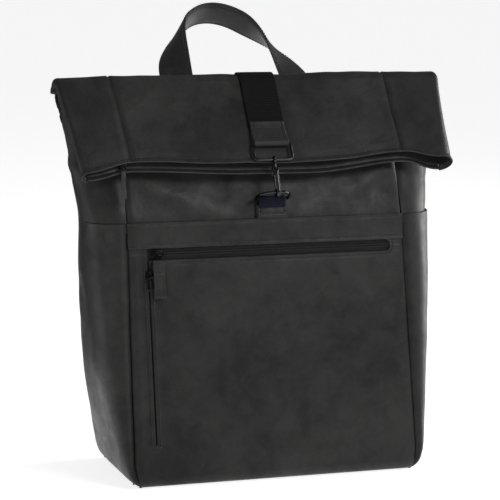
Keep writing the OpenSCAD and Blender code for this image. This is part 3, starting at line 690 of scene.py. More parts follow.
def side_valley(x, z):
    """The leather turns in where a panel is sewn to its neighbour, over a slight shoulder."""
    away = seam_x(z) - np.abs(x)
    return groove(away, 2.8, 1.9) + 0.5 * np.exp(-((away - 5.5) / 3) ** 2)


def soft(grid, amount, size, seed=0.0):
    """Slow, shallow unevenness of leather over a soft filling."""
    return amount * waves(grid, size, seed) + amount * 0.35 * waves(grid, size * 0.36, seed + 7)


def front_panel():
    half = SEAM_TOP_X - SEAM_GAP
    round_x = SLOT_X1 - 6.5
    xs = samples(-half, half, 7, (
        SLIT_X - SLIT_HALF, SLIT_X + SLIT_HALF,
        SLIT_X - SLIT_HALF - SLIT_STITCH + 2, SLIT_X + SLIT_HALF + SLIT_STITCH - 2, round_x))
    top = BAND_Z - 8
    arc = SLOT_MID_Z + SLOT_HALF_Z * np.sin(np.radians([-75, -60, -45, -30, -15, 0, 15, 30, 45, 60, 75]))
    zs = wall_heights(top, 7, (SLIT_LOW_Z, SLOT_LOW_Z, SLOT_STITCH_Z, SLOT_TOP_Z))
    zs = np.unique(np.round(np.concatenate([zs, arc]), 3))
    x, z = np.meshgrid(xs, zs)
    # The slot's right end is a half circle: the columns beyond it bend round it
    bow = np.sqrt(np.clip(1 - ((z - SLOT_MID_Z) / SLOT_HALF_Z) ** 2, 0, 1)) * 6.5
    beyond = np.clip((half - x) / (half - round_x), 0, 1)
    px = spread(x, z) + np.where(x >= round_x - 1e-6, bow * beyond, 0)
    grid = np.stack([px, front_y(z) + edge_inset(z), z], -1)
    from_slit = np.abs(np.abs(px - SLIT_X) - SLIT_HALF)
    in_slit_z = np.clip((z - SLIT_LOW_Z + 6) / 6, 0, 1) * (z < SLOT_TOP_Z)
    from_slot = np.hypot(np.maximum(np.abs(z - SLOT_MID_Z) - SLOT_HALF_Z, 0), np.maximum(px - SLOT_X1, 0))
    out = side_valley(px, z) + soft(grid, 0.9, 95, 3.1)
    out = out + 1.6 * np.clip(1 - (px / 120) ** 2, 0, 1) * np.sin(np.pi * np.clip(z / 235, 0, 1))
    slit_lip = 0.35 * np.exp(-((from_slit - 1) / 2.4) ** 2) + groove(from_slit - SLIT_STITCH, 0.3, 0.8)
    slot_lip = 0.5 * np.exp(-(from_slot / 2.4) ** 2) + groove(from_slot - 3.6, 0.35, 0.9)
    out = out + in_slit_z * slit_lip
    out = out + np.where(px > SLOT_X0, slot_lip, 0)
    grid = push_out(grid, out)
    mid_x, mid_z = (xs[:-1] + xs[1:]) / 2, (zs[:-1] + zs[1:]) / 2
    cx, cz = np.meshgrid(mid_x, mid_z)
    slot_hole = (cx > SLOT_X0) & (cx < round_x) & (cz > SLOT_LOW_Z) & (cz < SLOT_TOP_Z)
    slit_hole = (np.abs(cx - SLIT_X) < SLIT_HALF) & (cz > SLIT_LOW_Z) & (cz < SLOT_TOP_Z)
    piece = skin("front_leather", grid, LEATHER_T, MAT["leather"], "bag", keep=~(slot_hole | slit_hole))
    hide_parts("front_panel")


def zip_band():
    half = SEAM_TOP_X - SEAM_GAP
    xs = samples(-half, half, 8)
    zs = samples(SLOT_TOP_Z, BAND_Z, 4, (SLOT_TOP_Z + BAND_STITCH, BAND_Z - BAND_STITCH))
    x, z = np.meshgrid(xs, zs)
    grid = front_point(x, z, 1.5)
    hem = np.minimum(z - SLOT_TOP_Z, BAND_Z - z)
    out = 0.5 * np.exp(-(hem / 4.5) ** 2) + groove(hem - BAND_STITCH, 0.35, 0.8)
    out = out + groove(half - np.abs(x), 1.3, 2.6) + soft(grid, 0.5, 60, 9.0)
    # Small puckers between the two rows of stitches
    out = out + 0.22 * np.sin(x / 4.3 + 2 * waves(grid, 30, 2.0)) * np.exp(-((hem - 6) / 4) ** 2)
    piece = skin("zip_band_leather", push_out(grid, out), 1.6, MAT["leather"], "bag", swell=0.45)
    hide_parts("zip_band")


def ridge(x, z, ax, az, bx, bz, height, width):
    """A soft fold from point a to point b of the face, fading at both ends."""
    run = math.hypot(bx - ax, bz - az)
    ux, uz = (bx - ax) / run, (bz - az) / run
    along = ((x - ax) * ux + (z - az) * uz) / run
    off = (x - ax) * -uz + (z - az) * ux
    fade = np.clip(along / 0.3, 0, 1) * np.clip((1 - along) / 0.3, 0, 1)
    return height * np.exp(-(off / width) ** 2) * fade * fade * (3 - 2 * fade)


def upper_front():
    half = SEAM_TOP_X - SEAM_GAP
    xs = samples(-half, half, 5)
    zs = samples(BAND_Z - 3, BODY_TOP_Z, 4.5)
    x, z = np.meshgrid(xs, zs)
    grid = np.stack([x, front_y(z), z], -1)
    calm = np.clip((z - BAND_Z) / 14, 0, 1) * np.clip((FOLD_Z - z) / 20, 0, 1)
    folds = ridge(x, z, -150, 312, -62, 276, 3.4, 9) - ridge(x, z, -140, 330, -30, 286, 2.4, 10)
    folds = folds + ridge(x, z, 152, 322, 70, 278, 3.0, 10) - ridge(x, z, 145, 300, 88, 272, 2.0, 8)
    folds = folds + ridge(x, z, -40, 300, 60, 292, 1.6, 9) + ridge(x, z, 28, 330, 96, 290, 1.8, 8)
    out = calm * 0.62 * (folds + soft(grid, 1.6, 48, 5.2)) + side_valley(x, z) + groove(z - BAND_Z, 0.5, 2)
    out = out - 0.6 * np.exp(-(((x - STRAP_X) / 24) ** 2 + ((z - 279) / 16) ** 2))
    piece = skin("upper_front_leather", push_out(grid, out), LEATHER_T, MAT["leather"], "bag")
    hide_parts("upper_front_panel")


def gusset_grid(turns, zs, inset, side):
    turn, z = np.meshgrid(turns, zs)
    x, y = gusset_point(turn, z, inset)
    grid = np.stack([x * side, y, z], -1)
    return (grid if side > 0 else grid[:, ::-1]), turn if side > 0 else turn[:, ::-1], z


def gusset_turns():
    """Closer together at both seams, where the formula runs fast."""
    even = np.linspace(0, 1, 41)[1:-1]
    return np.pi * np.concatenate([[0, 0.0008, 0.004, 0.012], even * 0.96 + 0.02, [0.988, 0.996, 0.9992, 1]])


def gussets():
    turns = gusset_turns()
    lap_z = BAND_Z - 0.6
    for side, name in ((-1, "left"), (1, "right")):
        grid, turn, z = gusset_grid(turns, wall_heights(lap_z, 8), 0.0, side)
        from_seam = np.minimum(np.abs(grid[..., 0]) - seam_x(z), 60)
        out = groove(from_seam, 2.4, 2.0) + 0.5 * np.exp(-((from_seam - 5.5) / 3) ** 2)
        out = out + soft(grid, 1.2, 70, 11 + side)
        middle = np.sin(turn) ** 2
        out = out + middle * (1.2 * np.sin(z / 41 + 1.1 * side) + 1.0 * waves(grid, 26, 4.0 + side))
        out = out + 0.35 * np.exp(-((lap_z - z) / 5) ** 2) + groove(lap_z - z - 3, 0.5, 0.9)
        lower = skin("gusset_lower_" + name, push_out(grid, out), LEATHER_T, MAT["leather"], "bag", swell=0.45)
        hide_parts("lower_gusset_" + name)

        grid, turn, z = gusset_grid(turns, samples(BAND_Z - 9, BODY_TOP_Z, 5), 1.3, side)
        middle = np.sin(turn) ** 2
        rise = np.clip((z - BAND_Z) / 30, 0, 1) * np.clip((FOLD_Z - z) / 26, 0, 1)
        crumple = 2.4 * waves(grid * (1, 1, 0.55), 24, 6.0 + side) + 1.6 * waves(grid, 12, 2.0 + side)
        out = middle * rise * crumple
        out = out + groove(np.abs(grid[..., 0]) - seam_x(z), 1.3, 2.6) * rise
        upper = skin("gusset_upper_" + name, push_out(grid, out), 1.2, MAT["leather"], "bag")
        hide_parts("upper_gusset_" + name)


def back_panel():
    half = SEAM_TOP_X - SEAM_GAP
    xs = samples(-half, half, 9)
    zs = wall_heights(BODY_TOP_Z, 9)
    x, z = np.meshgrid(xs, zs)
    grid = np.stack([-spread(x, z), back_y(z) - edge_inset(z), z], -1)
    out = side_valley(x, z) + soft(grid, 0.35, 90, 17.0)
    piece = skin("back_leather", push_out(grid, out), LEATHER_T, MAT["leather"], "bag")
    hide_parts("back_panel")


def plan_outline(z, inset):
    """The bag's outline at one height, anticlockwise from above."""
    turns = np.pi * np.linspace(0, 1, 25)
    x, y = gusset_point(turns, z, inset - edge_inset(z))
    right = np.stack([x - 0.5, y], 1)
    left = np.stack([0.5 - x, y], 1)[::-1]
    front = np.stack([np.linspace(-1, 1, 25)[1:-1] * (x[0] - 0.5), np.full(23, y[0])], 1)
    back = np.stack([np.linspace(1, -1, 25)[1:-1] * (x[-1] - 0.5), np.full(23, y[-1])], 1)
    return np.concatenate([front, right, back, left])


def bottom():
    """The flat base, sewn in with a piped edge."""
    low = plan_outline(0.0, BASE_R + 1.0)
    low[:, 0] = corner_in(low[:, 0], 0)
    rings = [(1.0, 0.0), (0.985, 0.0), (0.8, 0.1), (0.4, 0.1), (0.02, 0.1)]
    loops = [np.column_stack([low * k, np.full(len(low), z)]) for k, z in rings]
    loops.insert(0, np.column_stack([low * 1.004, np.full(len(low), 0.9)]))
    loops.insert(0, np.column_stack([low * 0.99, np.full(len(low), 2.0)]))
    n = len(low)
    verts = np.concatenate(loops)
    faces = [(i * n + k, (i + 1) * n + k, (i + 1) * n + (k + 1) % n, i * n + (k + 1) % n)
             for i in range(len(loops) - 1) for k in range(n)]
    faces.append(tuple((len(loops) - 1) * n + k for k in range(n))[::-1])
    faces.append(tuple(range(n)))
    piece = to_mesh("bottom_leather", verts, faces, MAT["leather"], "bag", "leather")
    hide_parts("bottom_panel")
    edge = np.column_stack([plan_outline(0.0, BASE_R + 0.1), np.full(n, 1.9)])
    edge[:, 0] = corner_in(edge[:, 0], 1.9)
    piping = tube_data(edge, 1.2, around=10, closed=True, up=(0, 0, 1))
    to_mesh("bottom_piping", *piping, MAT["leather"], "bag", "leather")


def shell_stitches():
    out_low = np.array([0, -math.cos(FRONT_TILT), math.sin(FRONT_TILT)])
    half = SEAM_TOP_X - 4
    rows = []
    for z, off in ((SLOT_TOP_Z + BAND_STITCH, 1.5), (BAND_Z - BAND_STITCH, 1.5)):
        rows.append((front_point(np.linspace(-half, half, 80), z, off + 0.1), out_low))
    # Round the level slot: under it, round its right end and back along the top as far as the band hides it
    a = np.linspace(-math.pi / 2, 0.55, 14)
    r = SLOT_HALF_Z + 3.4
    lip = [(x, SLOT_MID_Z - r) for x in np.linspace(SLOT_X0 + 22, SLOT_X1 - 6.5, 70)]
    lip += [(SLOT_X1 - 6.5 + r * math.cos(t), SLOT_MID_Z + r * math.sin(t)) for t in a[1:]]
    lip = np.array(lip)
    rows.append((front_point(lip[:, 0], lip[:, 1], 1.0), out_low))
    d = SLIT_HALF + SLIT_STITCH - 0.4
    low_z, high_z = SLIT_LOW_Z - 2.6, SLOT_LOW_Z - 4
    u = [(SLIT_X - d, high_z), (SLIT_X - d, low_z), (SLIT_X + d, low_z), (SLIT_X + d, high_z)]
    rows += sewn_sides(u, 60, lambda x, z: front_point(x, z, 0.9), out_low)
    stitches("front_stitches", rows, "bag")


front_panel()
zip_band()
upper_front()
gussets()
back_panel()
bottom()
shell_stitches()


# ---- the rolled top ----

ARC_LEN = FOLD_R * FOLD_TURN


def smooth_knots(x, places, values):
    """A smooth curve through a few values, level at each of them."""
    x = np.clip(x, places[0], places[-1])
    k = np.clip(np.searchsorted(places, x, side="right") - 1, 0, len(places) - 2)
    a, b = np.take(places, k), np.take(places, k + 1)
    t = (x - a) / (b - a)
    t = t * t * (3 - 2 * t)
    return np.take(values, k) * (1 - t) + np.take(values, k + 1) * t


def sleeve_point(x, t, off):
    """Follows the outer layer: t below 0 is down the back, then come the roll and the flap."""
    point = roll_point(x, np.where(t < ARC_LEN, t / ARC_LEN, 1 + t - ARC_LEN), off)
    down = np.stack(np.broadcast_arrays(x, FOLD_Y + off, FOLD_Z + t), -1)
    return np.where((t < 0)[..., None], down, point)


def pinch(x, l):
    """How far the two layers close up towards the mouth's left end."""
    side = np.clip((-x - 120) / 90, 0, 1)
    return side * side * np.clip(l / OUTER_LEN, 0, 1.1) ** 2


def mouth_open(x, l):
    """How far the roll's right end stands open as a rounded tube."""
    side = np.clip((x - 120) / 86, 0, 1)
    return side ** 1.5 * np.clip(l / OUTER_LEN, 0, 1.1) ** 2


def flap_shift(x, l):
    """The flap skews a little as it hangs."""
    knots = [-210, FLAP_SEAMS[0], 0, FLAP_SEAMS[1], 210]
    return smooth_knots(x, knots, [7, 3, 4, 7, -7]) * np.clip(l / OUTER_LEN, 0, 1.1)


def edge_length(x):
    """The mouth's edge isn't straight: extra length at each place along it."""
    return smooth_knots(x, [-208, -150, -30, 40, FLAP_SEAMS[1], 205], [9, -2, 3, 4, -5, 5])


def outer_sleeve():
    flat = samples(-(MOUTH_HALF - 4), MOUTH_HALF - 4, 5.5,
                   (*FLAP_SEAMS, STRAP_X - WEB_HALF, STRAP_X + WEB_HALF))
    turn = np.radians(np.linspace(0, 180, 13)[1:])
    u = np.concatenate([flat[0] - turn[::-1] * 5, flat, flat[-1] + turn * 5])
    angle = np.concatenate([turn[::-1], np.zeros(len(flat)), turn])
    side = np.sign(u)
    ls = samples(0, OUTER_LEN, 4.2, (OUTER_LEN - 3,))[::-1]
    ts = np.concatenate([ls + ARC_LEN, np.linspace(ARC_LEN, 0, 22)[1:], [-1.5, -3.2]])
    uu, tt = np.meshgrid(u, ts)
    aa = np.broadcast_to(angle, uu.shape)
    l = np.maximum(tt - ARC_LEN, 0)
    x0 = np.clip(uu, flat[0], flat[-1])
    narrow = 1 - (MOUTH_HALF - FLAP_END_HALF) / (MOUTH_HALF - 4) * l / OUTER_LEN
    near, wide = pinch(x0, l), mouth_open(x0, l)
    x = x0 * narrow + side * (5 + 7 * wide) * np.sin(aa) + flap_shift(x0, l)
    high, low = FOLD_R - 3.2 * near + 5.5 * wide, INNER_R + 2.2 * near - 1.5 * wide
    off = (high + low) / 2 + (high - low) / 2 * np.cos(aa)
    t = tt + (edge_length(x0) + 7 * aa / math.pi) * (l / OUTER_LEN) ** 1.5
    grid = sleeve_point(x, t, off)
    flat_part = np.cos(aa) ** 2 * (aa < 1.6)
    seam = np.minimum(np.abs(x0 - FLAP_SEAMS[0]), np.abs(x0 - FLAP_SEAMS[1]))
    hem = OUTER_LEN - l
    out = groove(seam, 1.1, 1.3) + 0.25 * np.exp(-((seam - 3.2) / 2.4) ** 2)
    out = out + 0.9 * np.exp(-(hem / 2.6) ** 2) + np.where(l > 0, groove(hem - 4.6, 0.7, 1.0), 0)
    calm = np.clip(np.abs(x0 - STRAP_X) / 30, 0, 1) ** 2
    out = out + calm * flat_part * (1.5 * waves(grid, 62, 21.0) + 0.9 * waves(grid * (1, 0.6, 0.6), 25, 4.4))
    # Long shallow folds run from the roll towards the hem beside each seam
    out = out + calm * flat_part * np.clip(l / 30, 0, 1) * (
        1.2 * np.sin(x0 / 31 + l / 60) + 0.7 * np.sin(x0 / 13.5 - l / 26 + 1.3))
    out = out - 0.9 * np.exp(-((x0 - STRAP_X) / 22) ** 4)
    out = out + np.where(tt < 0, 0.9, 0.9 * np.clip(1 - tt / 5, 0, 1))
    surface = push_out(grid, out)
    piece = skin("rolled_outer_leather", surface, FLAP_T, MAT["leather"], None, swell=0.5)
    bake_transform(piece)
    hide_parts("outer_fold", "flap_outer_panel", "flap_end_left", "flap_end_right")

    hx = np.linspace(flat[0] + 3, flat[-1] + 2, 160)
    rows = [(grid_lookup(surface, u, ts, hx, np.full(160, OUTER_LEN - 4.6 + ARC_LEN)),
             np.broadcast_to((0, -math.cos(LEAN), math.sin(LEAN)), (160, 3)))]
    thread = stitches("rolled_outer_stitches", rows, None)
    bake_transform(thread)


def grid_lookup(grid, us, vs, u, v):
    """Points of a grid at given column and row values."""
    u, v = np.broadcast_arrays(np.asarray(u, float), np.asarray(v, float))
    order = np.argsort(vs)
    vs, grid = np.asarray(vs)[order], grid[order]
    j = np.clip(np.searchsorted(us, u) - 1, 0, len(us) - 2)
    i = np.clip(np.searchsorted(vs, v) - 1, 0, len(vs) - 2)
    a = ((u - us[j]) / (us[j + 1] - us[j]))[..., None]
    b = ((v - vs[i]) / (vs[i + 1] - vs[i]))[..., None]
    low = grid[i, j] * (1 - a) + grid[i, j + 1] * a
    high = grid[i + 1, j] * (1 - a) + grid[i + 1, j + 1] * a
    return low * (1 - b) + high * b


def inner_sleeve():
    """The layer behind, which carries the bag's front over the roll; its far edge shows below the hem."""
    xs = samples(-(MOUTH_HALF - 3.6), MOUTH_HALF - 3.6, 6)
    ls = samples(0, INNER_LEN, 6, (INNER_LEN - 4,))[::-1]
    arc = (INNER_R + FLAP_T) * FOLD_TURN
    ts = np.concatenate([ls + arc, np.linspace(arc, 0, 14)[1:]])
    x0, tt = np.meshgrid(xs, ts)
    l = np.maximum(tt - arc, 0)
    x = x0 * (1 - (MOUTH_HALF - FLAP_END_HALF) / (MOUTH_HALF - 4) * l / OUTER_LEN) + flap_shift(x0, l)
    off = INNER_R + FLAP_T + 2.2 * pinch(x0, l) - 1.5 * mouth_open(x0, l)
    shorter = smooth_knots(x0, [-205, -60, 60, 205], [-3, -1.5, -1, -3])
    length = l + (edge_length(x0) + shorter) * (l / INNER_LEN) ** 1.5
    grid = roll_point(x, np.where(tt < arc, tt / arc, 1 + length), off)
    hem = INNER_LEN - l
    out = 0.8 * np.exp(-(hem / 2.4) ** 2) + groove(hem - 4.2, 0.6, 0.9) * (l > 0)
    out = out + np.clip(l / 40, 0, 1) * (0.5 * waves(grid, 34, 8.0) + 0.4 * np.sin(x0 / 19))
    piece = skin("rolled_inner_leather", push_out(grid, out), FLAP_T, MAT["leather"], None, swell=0.5)
    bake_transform(piece)
    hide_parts("inner_fold", "flap_inner_panel")


def mouth_zip():
    mid = (FOLD_R + INNER_R) / 2
    for side, name in ((1, "outer"), (-1, "inner")):
        xs = np.linspace(-190, 190, 96)
        ls = np.array([MOUTH_TAPE[1], 86, 82, 78, 74, MOUTH_TAPE[0]])
        x, l = np.meshgrid(xs, ls)
        off = mid + side * np.interp(l, MOUTH_TAPE, [2.0, 0.8])
        grid = flap_point(x + flap_shift(x, l), l + 0.7 * edge_length(x), off + 0.12 * np.sin(x / 9))
        if side < 0:
            grid = grid[::-1]
        tape = skin("mouth_tape_" + name, grid, 0.8, MAT["tape"], "flap", "zip_tape")
        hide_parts("mouth_zip_tapes")
    path = np.array([flap_point(x + flap_shift(x, MOUTH_COIL_L), MOUTH_COIL_L + 0.7 * edge_length(x), mid)
                     for x in np.linspace(-185, 185, 420)])
    bumps = 0.95 + 0.16 * np.cos(np.arange(420) * math.pi)
    coil = to_mesh("mouth_coil", *tube_data(path, bumps, around=8), MAT["coil"], "flap", "zip_coil")
    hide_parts("mouth_zip_coil")

    x = pivot("mouth_pull_flip")[0]
    wedge = [(x - 5, 1.6), (x - 5, 4.6), (x - 3, 7.6), (x + 3, 7.6),
             (x + 5, 4.6), (x + 5, 1.6), (x + 3.4, 0.2), (x - 3.4, 0.2)]
    plates = [block_data(wedge[::-1], low, low + 1.2, 0.4, mouth_point) for low in (-2.8, 1.6)]
    nose = block_data(rounded(x, 0.9, 4.4, 1.5, 0.6), -2.0, 2.0, 0.4, mouth_point)
    turns = np.radians(np.linspace(-125, 125, 15))
    eye = [mouth_point(x, 1.45 * math.sin(t), 1.45 * math.cos(t)).ravel() for t in turns]
    eye = tube_data(eye, 0.7, 10, up=(1, 0, 0))
    slider = to_mesh("mouth_slider_metal", *merged(plates + [nose, eye]), MAT["dark_metal"],
                     "mouth_slider", "gunmetal")
    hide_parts("mouth_zip_slider")
    link = to_mesh("mouth_pull_link", *link_data(x, 0, 0, 4.4, mouth_point), MAT["dark_metal"],
                   "mouth_pull", "gunmetal")
    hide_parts("mouth_zip_pull")

    # Two narrow thongs of uneven length start just below the link and hang side by side
    bar = mouth_point(x, -4.4, 0)
    for name, shift, y, low in (("long", -1.2, -24.0, 282.5), ("short", 1.3, -22.7, 291.0)):
        zs = np.linspace(bar[2] - 0.6, low, 26)
        fall = (zs[0] - zs) / (zs[0] - low)
        xs = np.array([-1.9, -1.7, -0.9, 0, 0.9, 1.7, 1.9])
        xx, zz = np.meshgrid(xs, zs)
        lean = shift * (fall ** 1.5)[:, None] + 0.3 * np.sin(fall * 7 + y)[:, None]
        yy = y + 0.25 * np.sin(fall * 5 + y)[:, None]
        yy = yy + (bar[1] - y) * np.exp(-(fall * 9) ** 2)[:, None] + 0.05 * xx ** 2
        thong = np.stack([x + xx + lean, yy - 0.4, zz], -1)
        skin("mouth_pull_thong_" + name, thong, 0.8, MAT["leather_tab"], "mouth_pull",
             "pull_leather", swell=0.3)


outer_sleeve()
inner_sleeve()


# ---- the closure ----


def yz_sweep(xs, profile, place):
    """A grid swept along X: each profile point is (height, out), turned into space by place(x, height, out)."""
    x, h = np.meshgrid(xs, profile[:, 0])
    o = np.broadcast_to(profile[:, 1:2], x.shape)
    return place(x, h, o)


def webbing_wave(x, run):
    return 0.10 * np.sin(run / 11.0 + x / 9.0) + 0.08 * np.sin(run / 5.3)


def closure_webbing():
    xs = samples(STRAP_X - WEB_HALF, STRAP_X + WEB_HALF, 3.2, near=(0.5, 1.4))
    off = WEB_OFF + WEB_T
    ts = np.concatenate([np.linspace(ARC_LEN, 0, 40), [-1.5, -4, -8, -12, -15.5]])
    x, t = np.meshgrid(xs, ts)
    web = sleeve_point(x, t, off + webbing_wave(x, t))
    web[..., 1] = np.where(t < 0, back_y(FOLD_Z + t) + WEB_T + 0.3 + 0.9 * np.exp(t / 6), web[..., 1])
    fold = skin("closure_fold_webbing", web, WEB_T, MAT["webbing"], None, "webbing")
    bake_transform(fold)
    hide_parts("closure_fold")

    ls = np.linspace(62, 0, 26)
    x, l = np.meshgrid(xs, ls)
    grid = flap_point(x, l, off + webbing_wave(x, ARC_LEN + l))
    strap = skin("closure_strap_webbing", grid, WEB_T, MAT["webbing"], None, "webbing")
    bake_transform(strap)
    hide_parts("closure_webbing")

    s = np.array([398, 394, 390, 386, 382, 379.5]) - 4.6
    x, ss = np.meshgrid(xs, s[::-1])
    grid = back_point(-x + 2 * STRAP_X, ss, WEB_T + 0.3 + webbing_wave(x, ss))
    anchor = skin("closure_anchor_webbing", grid, WEB_T, MAT["webbing"], "bag", "webbing")
    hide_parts("closure_anchor")
    lx = samples(STRAP_X - WEB_HALF, STRAP_X + WEB_HALF, 4)
    ly = samples(368, 377, 2.5)
    x, ss = np.meshgrid(lx, ly)
    skin("closure_anchor_leather", back_point(-x + 2 * STRAP_X, ss, 2.3), 1.9, MAT["leather"], "bag")
    runs = [(back_point(np.linspace(STRAP_X - 17, STRAP_X + 17, 20), k, 2.4), BACK_OUT) for k in (370.2, 374.8)]
    stitches("closure_anchor_stitches", runs, "bag")


def closure_tip():
    """Leather folded round the ring's upper bar and sewn over the end of the webbing."""
    r = RING_WIRE + 0.35
    t = 1.7
    a = np.radians(np.linspace(-90, 90, 11))
    under = np.stack([np.linspace(63, RING_L, 6), np.linspace(WEB_OFF - 0.2, BAR_OFF - r - t, 6)], 1)
    around = np.stack([RING_L + (r + t) * np.cos(a), BAR_OFF + (r + t) * np.sin(a)], 1)
    over_l = np.array([75.5, 73.5, 71, 68, 64.5, 61, 59, 57, 55, 53.5, 52.4, 51.8])
    top = WEB_OFF + WEB_T + t + 0.15
    rise = (BAR_OFF + r + t - top) * np.clip((over_l - 60) / 17, 0, 1) ** 1.6
    over = np.stack([over_l, top + rise], 1)
    profile = np.concatenate([under, around[1:], over])
    xs = samples(STRAP_X - 18, STRAP_X + 18, 3.5, (STRAP_X - 15.4, STRAP_X + 15.4), near=(0.5, 1.2))
    grid = yz_sweep(xs, profile, flap_point)
    row = np.arange(len(profile))[:, None]
    l = profile[:, :1]
    dent = groove(l - 55.0, 0.35, 0.7) + groove(l - 58.8, 0.35, 0.7) + groove(l - 71.2, 0.55, 1.2)
    edge = groove(np.abs(grid[..., 0] - STRAP_X) - 15.4, 0.35, 0.7)
    out = (row >= len(under) + len(around) - 1) * (dent + edge + 0.25) + 0.2 * waves(grid, 14, 3.0)
    piece = skin("closure_tip_leather", push_out(grid, out), t, MAT["leather"], "closure", swell=0.5)
    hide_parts("closure_tip")
    out_dir = (0, -math.cos(LEAN), math.sin(LEAN))
    line = np.linspace(STRAP_X - 15.4, STRAP_X + 15.4, 24)
    runs = [(flap_point(line, k, top + 0.1), out_dir) for k in (55.0, 58.8)]
    side_l = np.linspace(59, 70.5, 10)
    for s in (-15.4, 15.4):
        at = top + (BAR_OFF + r + t - top) * np.clip((side_l - 60) / 17, 0, 1) ** 1.6
        runs.append((flap_point(STRAP_X + s, side_l, at + 0.1), out_dir))
    runs.append((flap_point(line, 71.2, top + (BAR_OFF + r + t - top) * (11.2 / 17) ** 1.6 - 0.1), out_dir))
    stitches("closure_tip_stitches", runs, "closure")


def closure_ring():
    path = closed_route(rounded(0, 0, 2 * RING_HALF, RING_H, 4.0, 9), 1.2)
    path = flap_point(STRAP_X + path[:, 0], RING_L + RING_H / 2 - path[:, 1], BAR_OFF)
    wire = tube_data(path, RING_WIRE, 18, closed=True, up=(0, 0.57, 0.82))
    piece = to_mesh("closure_ring_wire", *wire, MAT["gunmetal"], "ring", "gunmetal")
    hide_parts("closure_ring")


HOOK_TOP = pivot("hook_swing")
D_BAR = pivot("d_ring_drop")
D_RISE = math.radians(25)
D_HALF = 17.5
D_REACH = 23.0
D_WIRE = 1.6


def d_point(x, y, z=0.0):
    """The D-ring's own frame, with its straight bar on the x axis."""
    return np.array([D_BAR[0] + x, D_BAR[1] + y * math.cos(D_RISE) + z * math.sin(D_RISE),
                     D_BAR[2] - y * math.sin(D_RISE) + z * math.cos(D_RISE)])


D_TIP = d_point(0, -D_REACH)
HOOK_LEAN = math.atan2(HOOK_TOP[1] - D_TIP[1], HOOK_TOP[2] - D_TIP[2])
HOOK_REACH = float(np.linalg.norm(HOOK_TOP[1:] - D_TIP[1:]))


def hook_point(x, a, b):
    """a runs up from the ring's lower bar, b points away from the bag."""
    return np.array([HOOK_TOP[0] + x, HOOK_TOP[1] + a * math.sin(HOOK_LEAN) - b * math.cos(HOOK_LEAN),
                     HOOK_TOP[2] + a * math.cos(HOOK_LEAN) + b * math.sin(HOOK_LEAN)])


def turned_data(profile, place, around=24):
    """A turned part: profile is (height, radius) pairs and place(x, height, out) puts it in space."""
    angle = np.linspace(0, 2 * math.pi, around, endpoint=False)
    verts = [place(r * math.cos(t), h, r * math.sin(t)) for h, r in profile for t in angle]
    return np.array(verts), ring_faces(around, len(profile))


def hook():
    turns = np.linspace(0, 2 * math.pi, 32, endpoint=False)
    eye = [hook_point(0, 3.05 * math.cos(t), 3.05 * math.sin(t)) for t in turns]
    post = turned_data([(-3.6, 1.7), (-4.4, 1.9), (-7.6, 1.9), (-13.2, 1.9), (-13.4, 1.6)], hook_point)
    collar = turned_data([(-12.2, 2.6), (-12.4, 2.9), (-13.2, 2.9), (-13.4, 2.6)], hook_point)
    eye_tube = tube_data(eye, 1.32, 14, closed=True, up=(1, 0, 0))
    piece = to_mesh("hook_eye_metal", *merged([eye_tube, post, collar]), MAT["gunmetal"], "eye", "gunmetal")
    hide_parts("hook_eye")

    barrel = turned_data([(-7.9, 2.1), (-7.9, 3.2), (-8.3, 3.65), (-9.2, 3.75), (-9.6, 3.5),
                          (-9.9, 3.75), (-11.4, 3.75), (-11.9, 3.4), (-12.0, 2.1)], hook_point)
    bend = 4.7
    j = [(-9.4, 2.9), (-11.0, 3.8), (-13.0, 4.4), (-16.0, 4.7), (-21.0, 4.8), (-27.0, 4.8)]
    j += [(-HOOK_REACH + 2, 4.7)]
    j += [(-HOOK_REACH - bend * math.sin(t), bend * math.cos(t)) for t in np.radians(np.linspace(0, 180, 15))]
    j += [(-HOOK_REACH + 1.2, -bend), (-HOOK_REACH + 2.2, -bend)]
    path = resample(np.array([hook_point(0, a, b) for a, b in j]), 0.8)[0]
    body = tube_data(path, 1.62, 18, up=(1, 0, 0))
    middle = HOOK_TOP[0]
    body[0][:, 0] = middle + (body[0][:, 0] - middle) * 1.4
    arm = [(-9.6, -2.6), (-11.2, -3.7), (-13.2, -4.7), (-15.0, -4.9)]
    arms = []
    for s in (-1.75, 1.75):
        arms.append(tube_data([hook_point(s, a, b) for a, b in arm], [1.2, 1.15, 1.15, 1.05], 12, up=(1, 0, 0)))
    pin = tube_data([hook_point(s, -14.5, -4.7) for s in (-2.7, 0, 2.7)], 0.75, 12, up=(0, 0, 1))
    piece = to_mesh("snap_hook_metal", *merged([barrel, body, *arms, pin]), MAT["gunmetal"], "hook", "gunmetal")
    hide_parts("snap_hook")

    gate = [hook_point(0, a, -4.7) for a in np.linspace(-14.5, -HOOK_REACH + 4, 14)]
    gate = tube_data(gate, 1.15, 14, up=(1, 0, 0))
    thumb = turned_data([(-1.2, 0.2), (-1.0, 0.9), (0, 1.2), (1.0, 1.0), (1.5, 0.3)],
                        lambda x, h, o: hook_point(x, -19 + o * 0.9, -6.0 - h * 0.5 + 0.2))
    piece = to_mesh("hook_gate_metal", *merged([gate, thumb]), MAT["gunmetal"], "gate", "gunmetal")
    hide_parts("hook_gate")


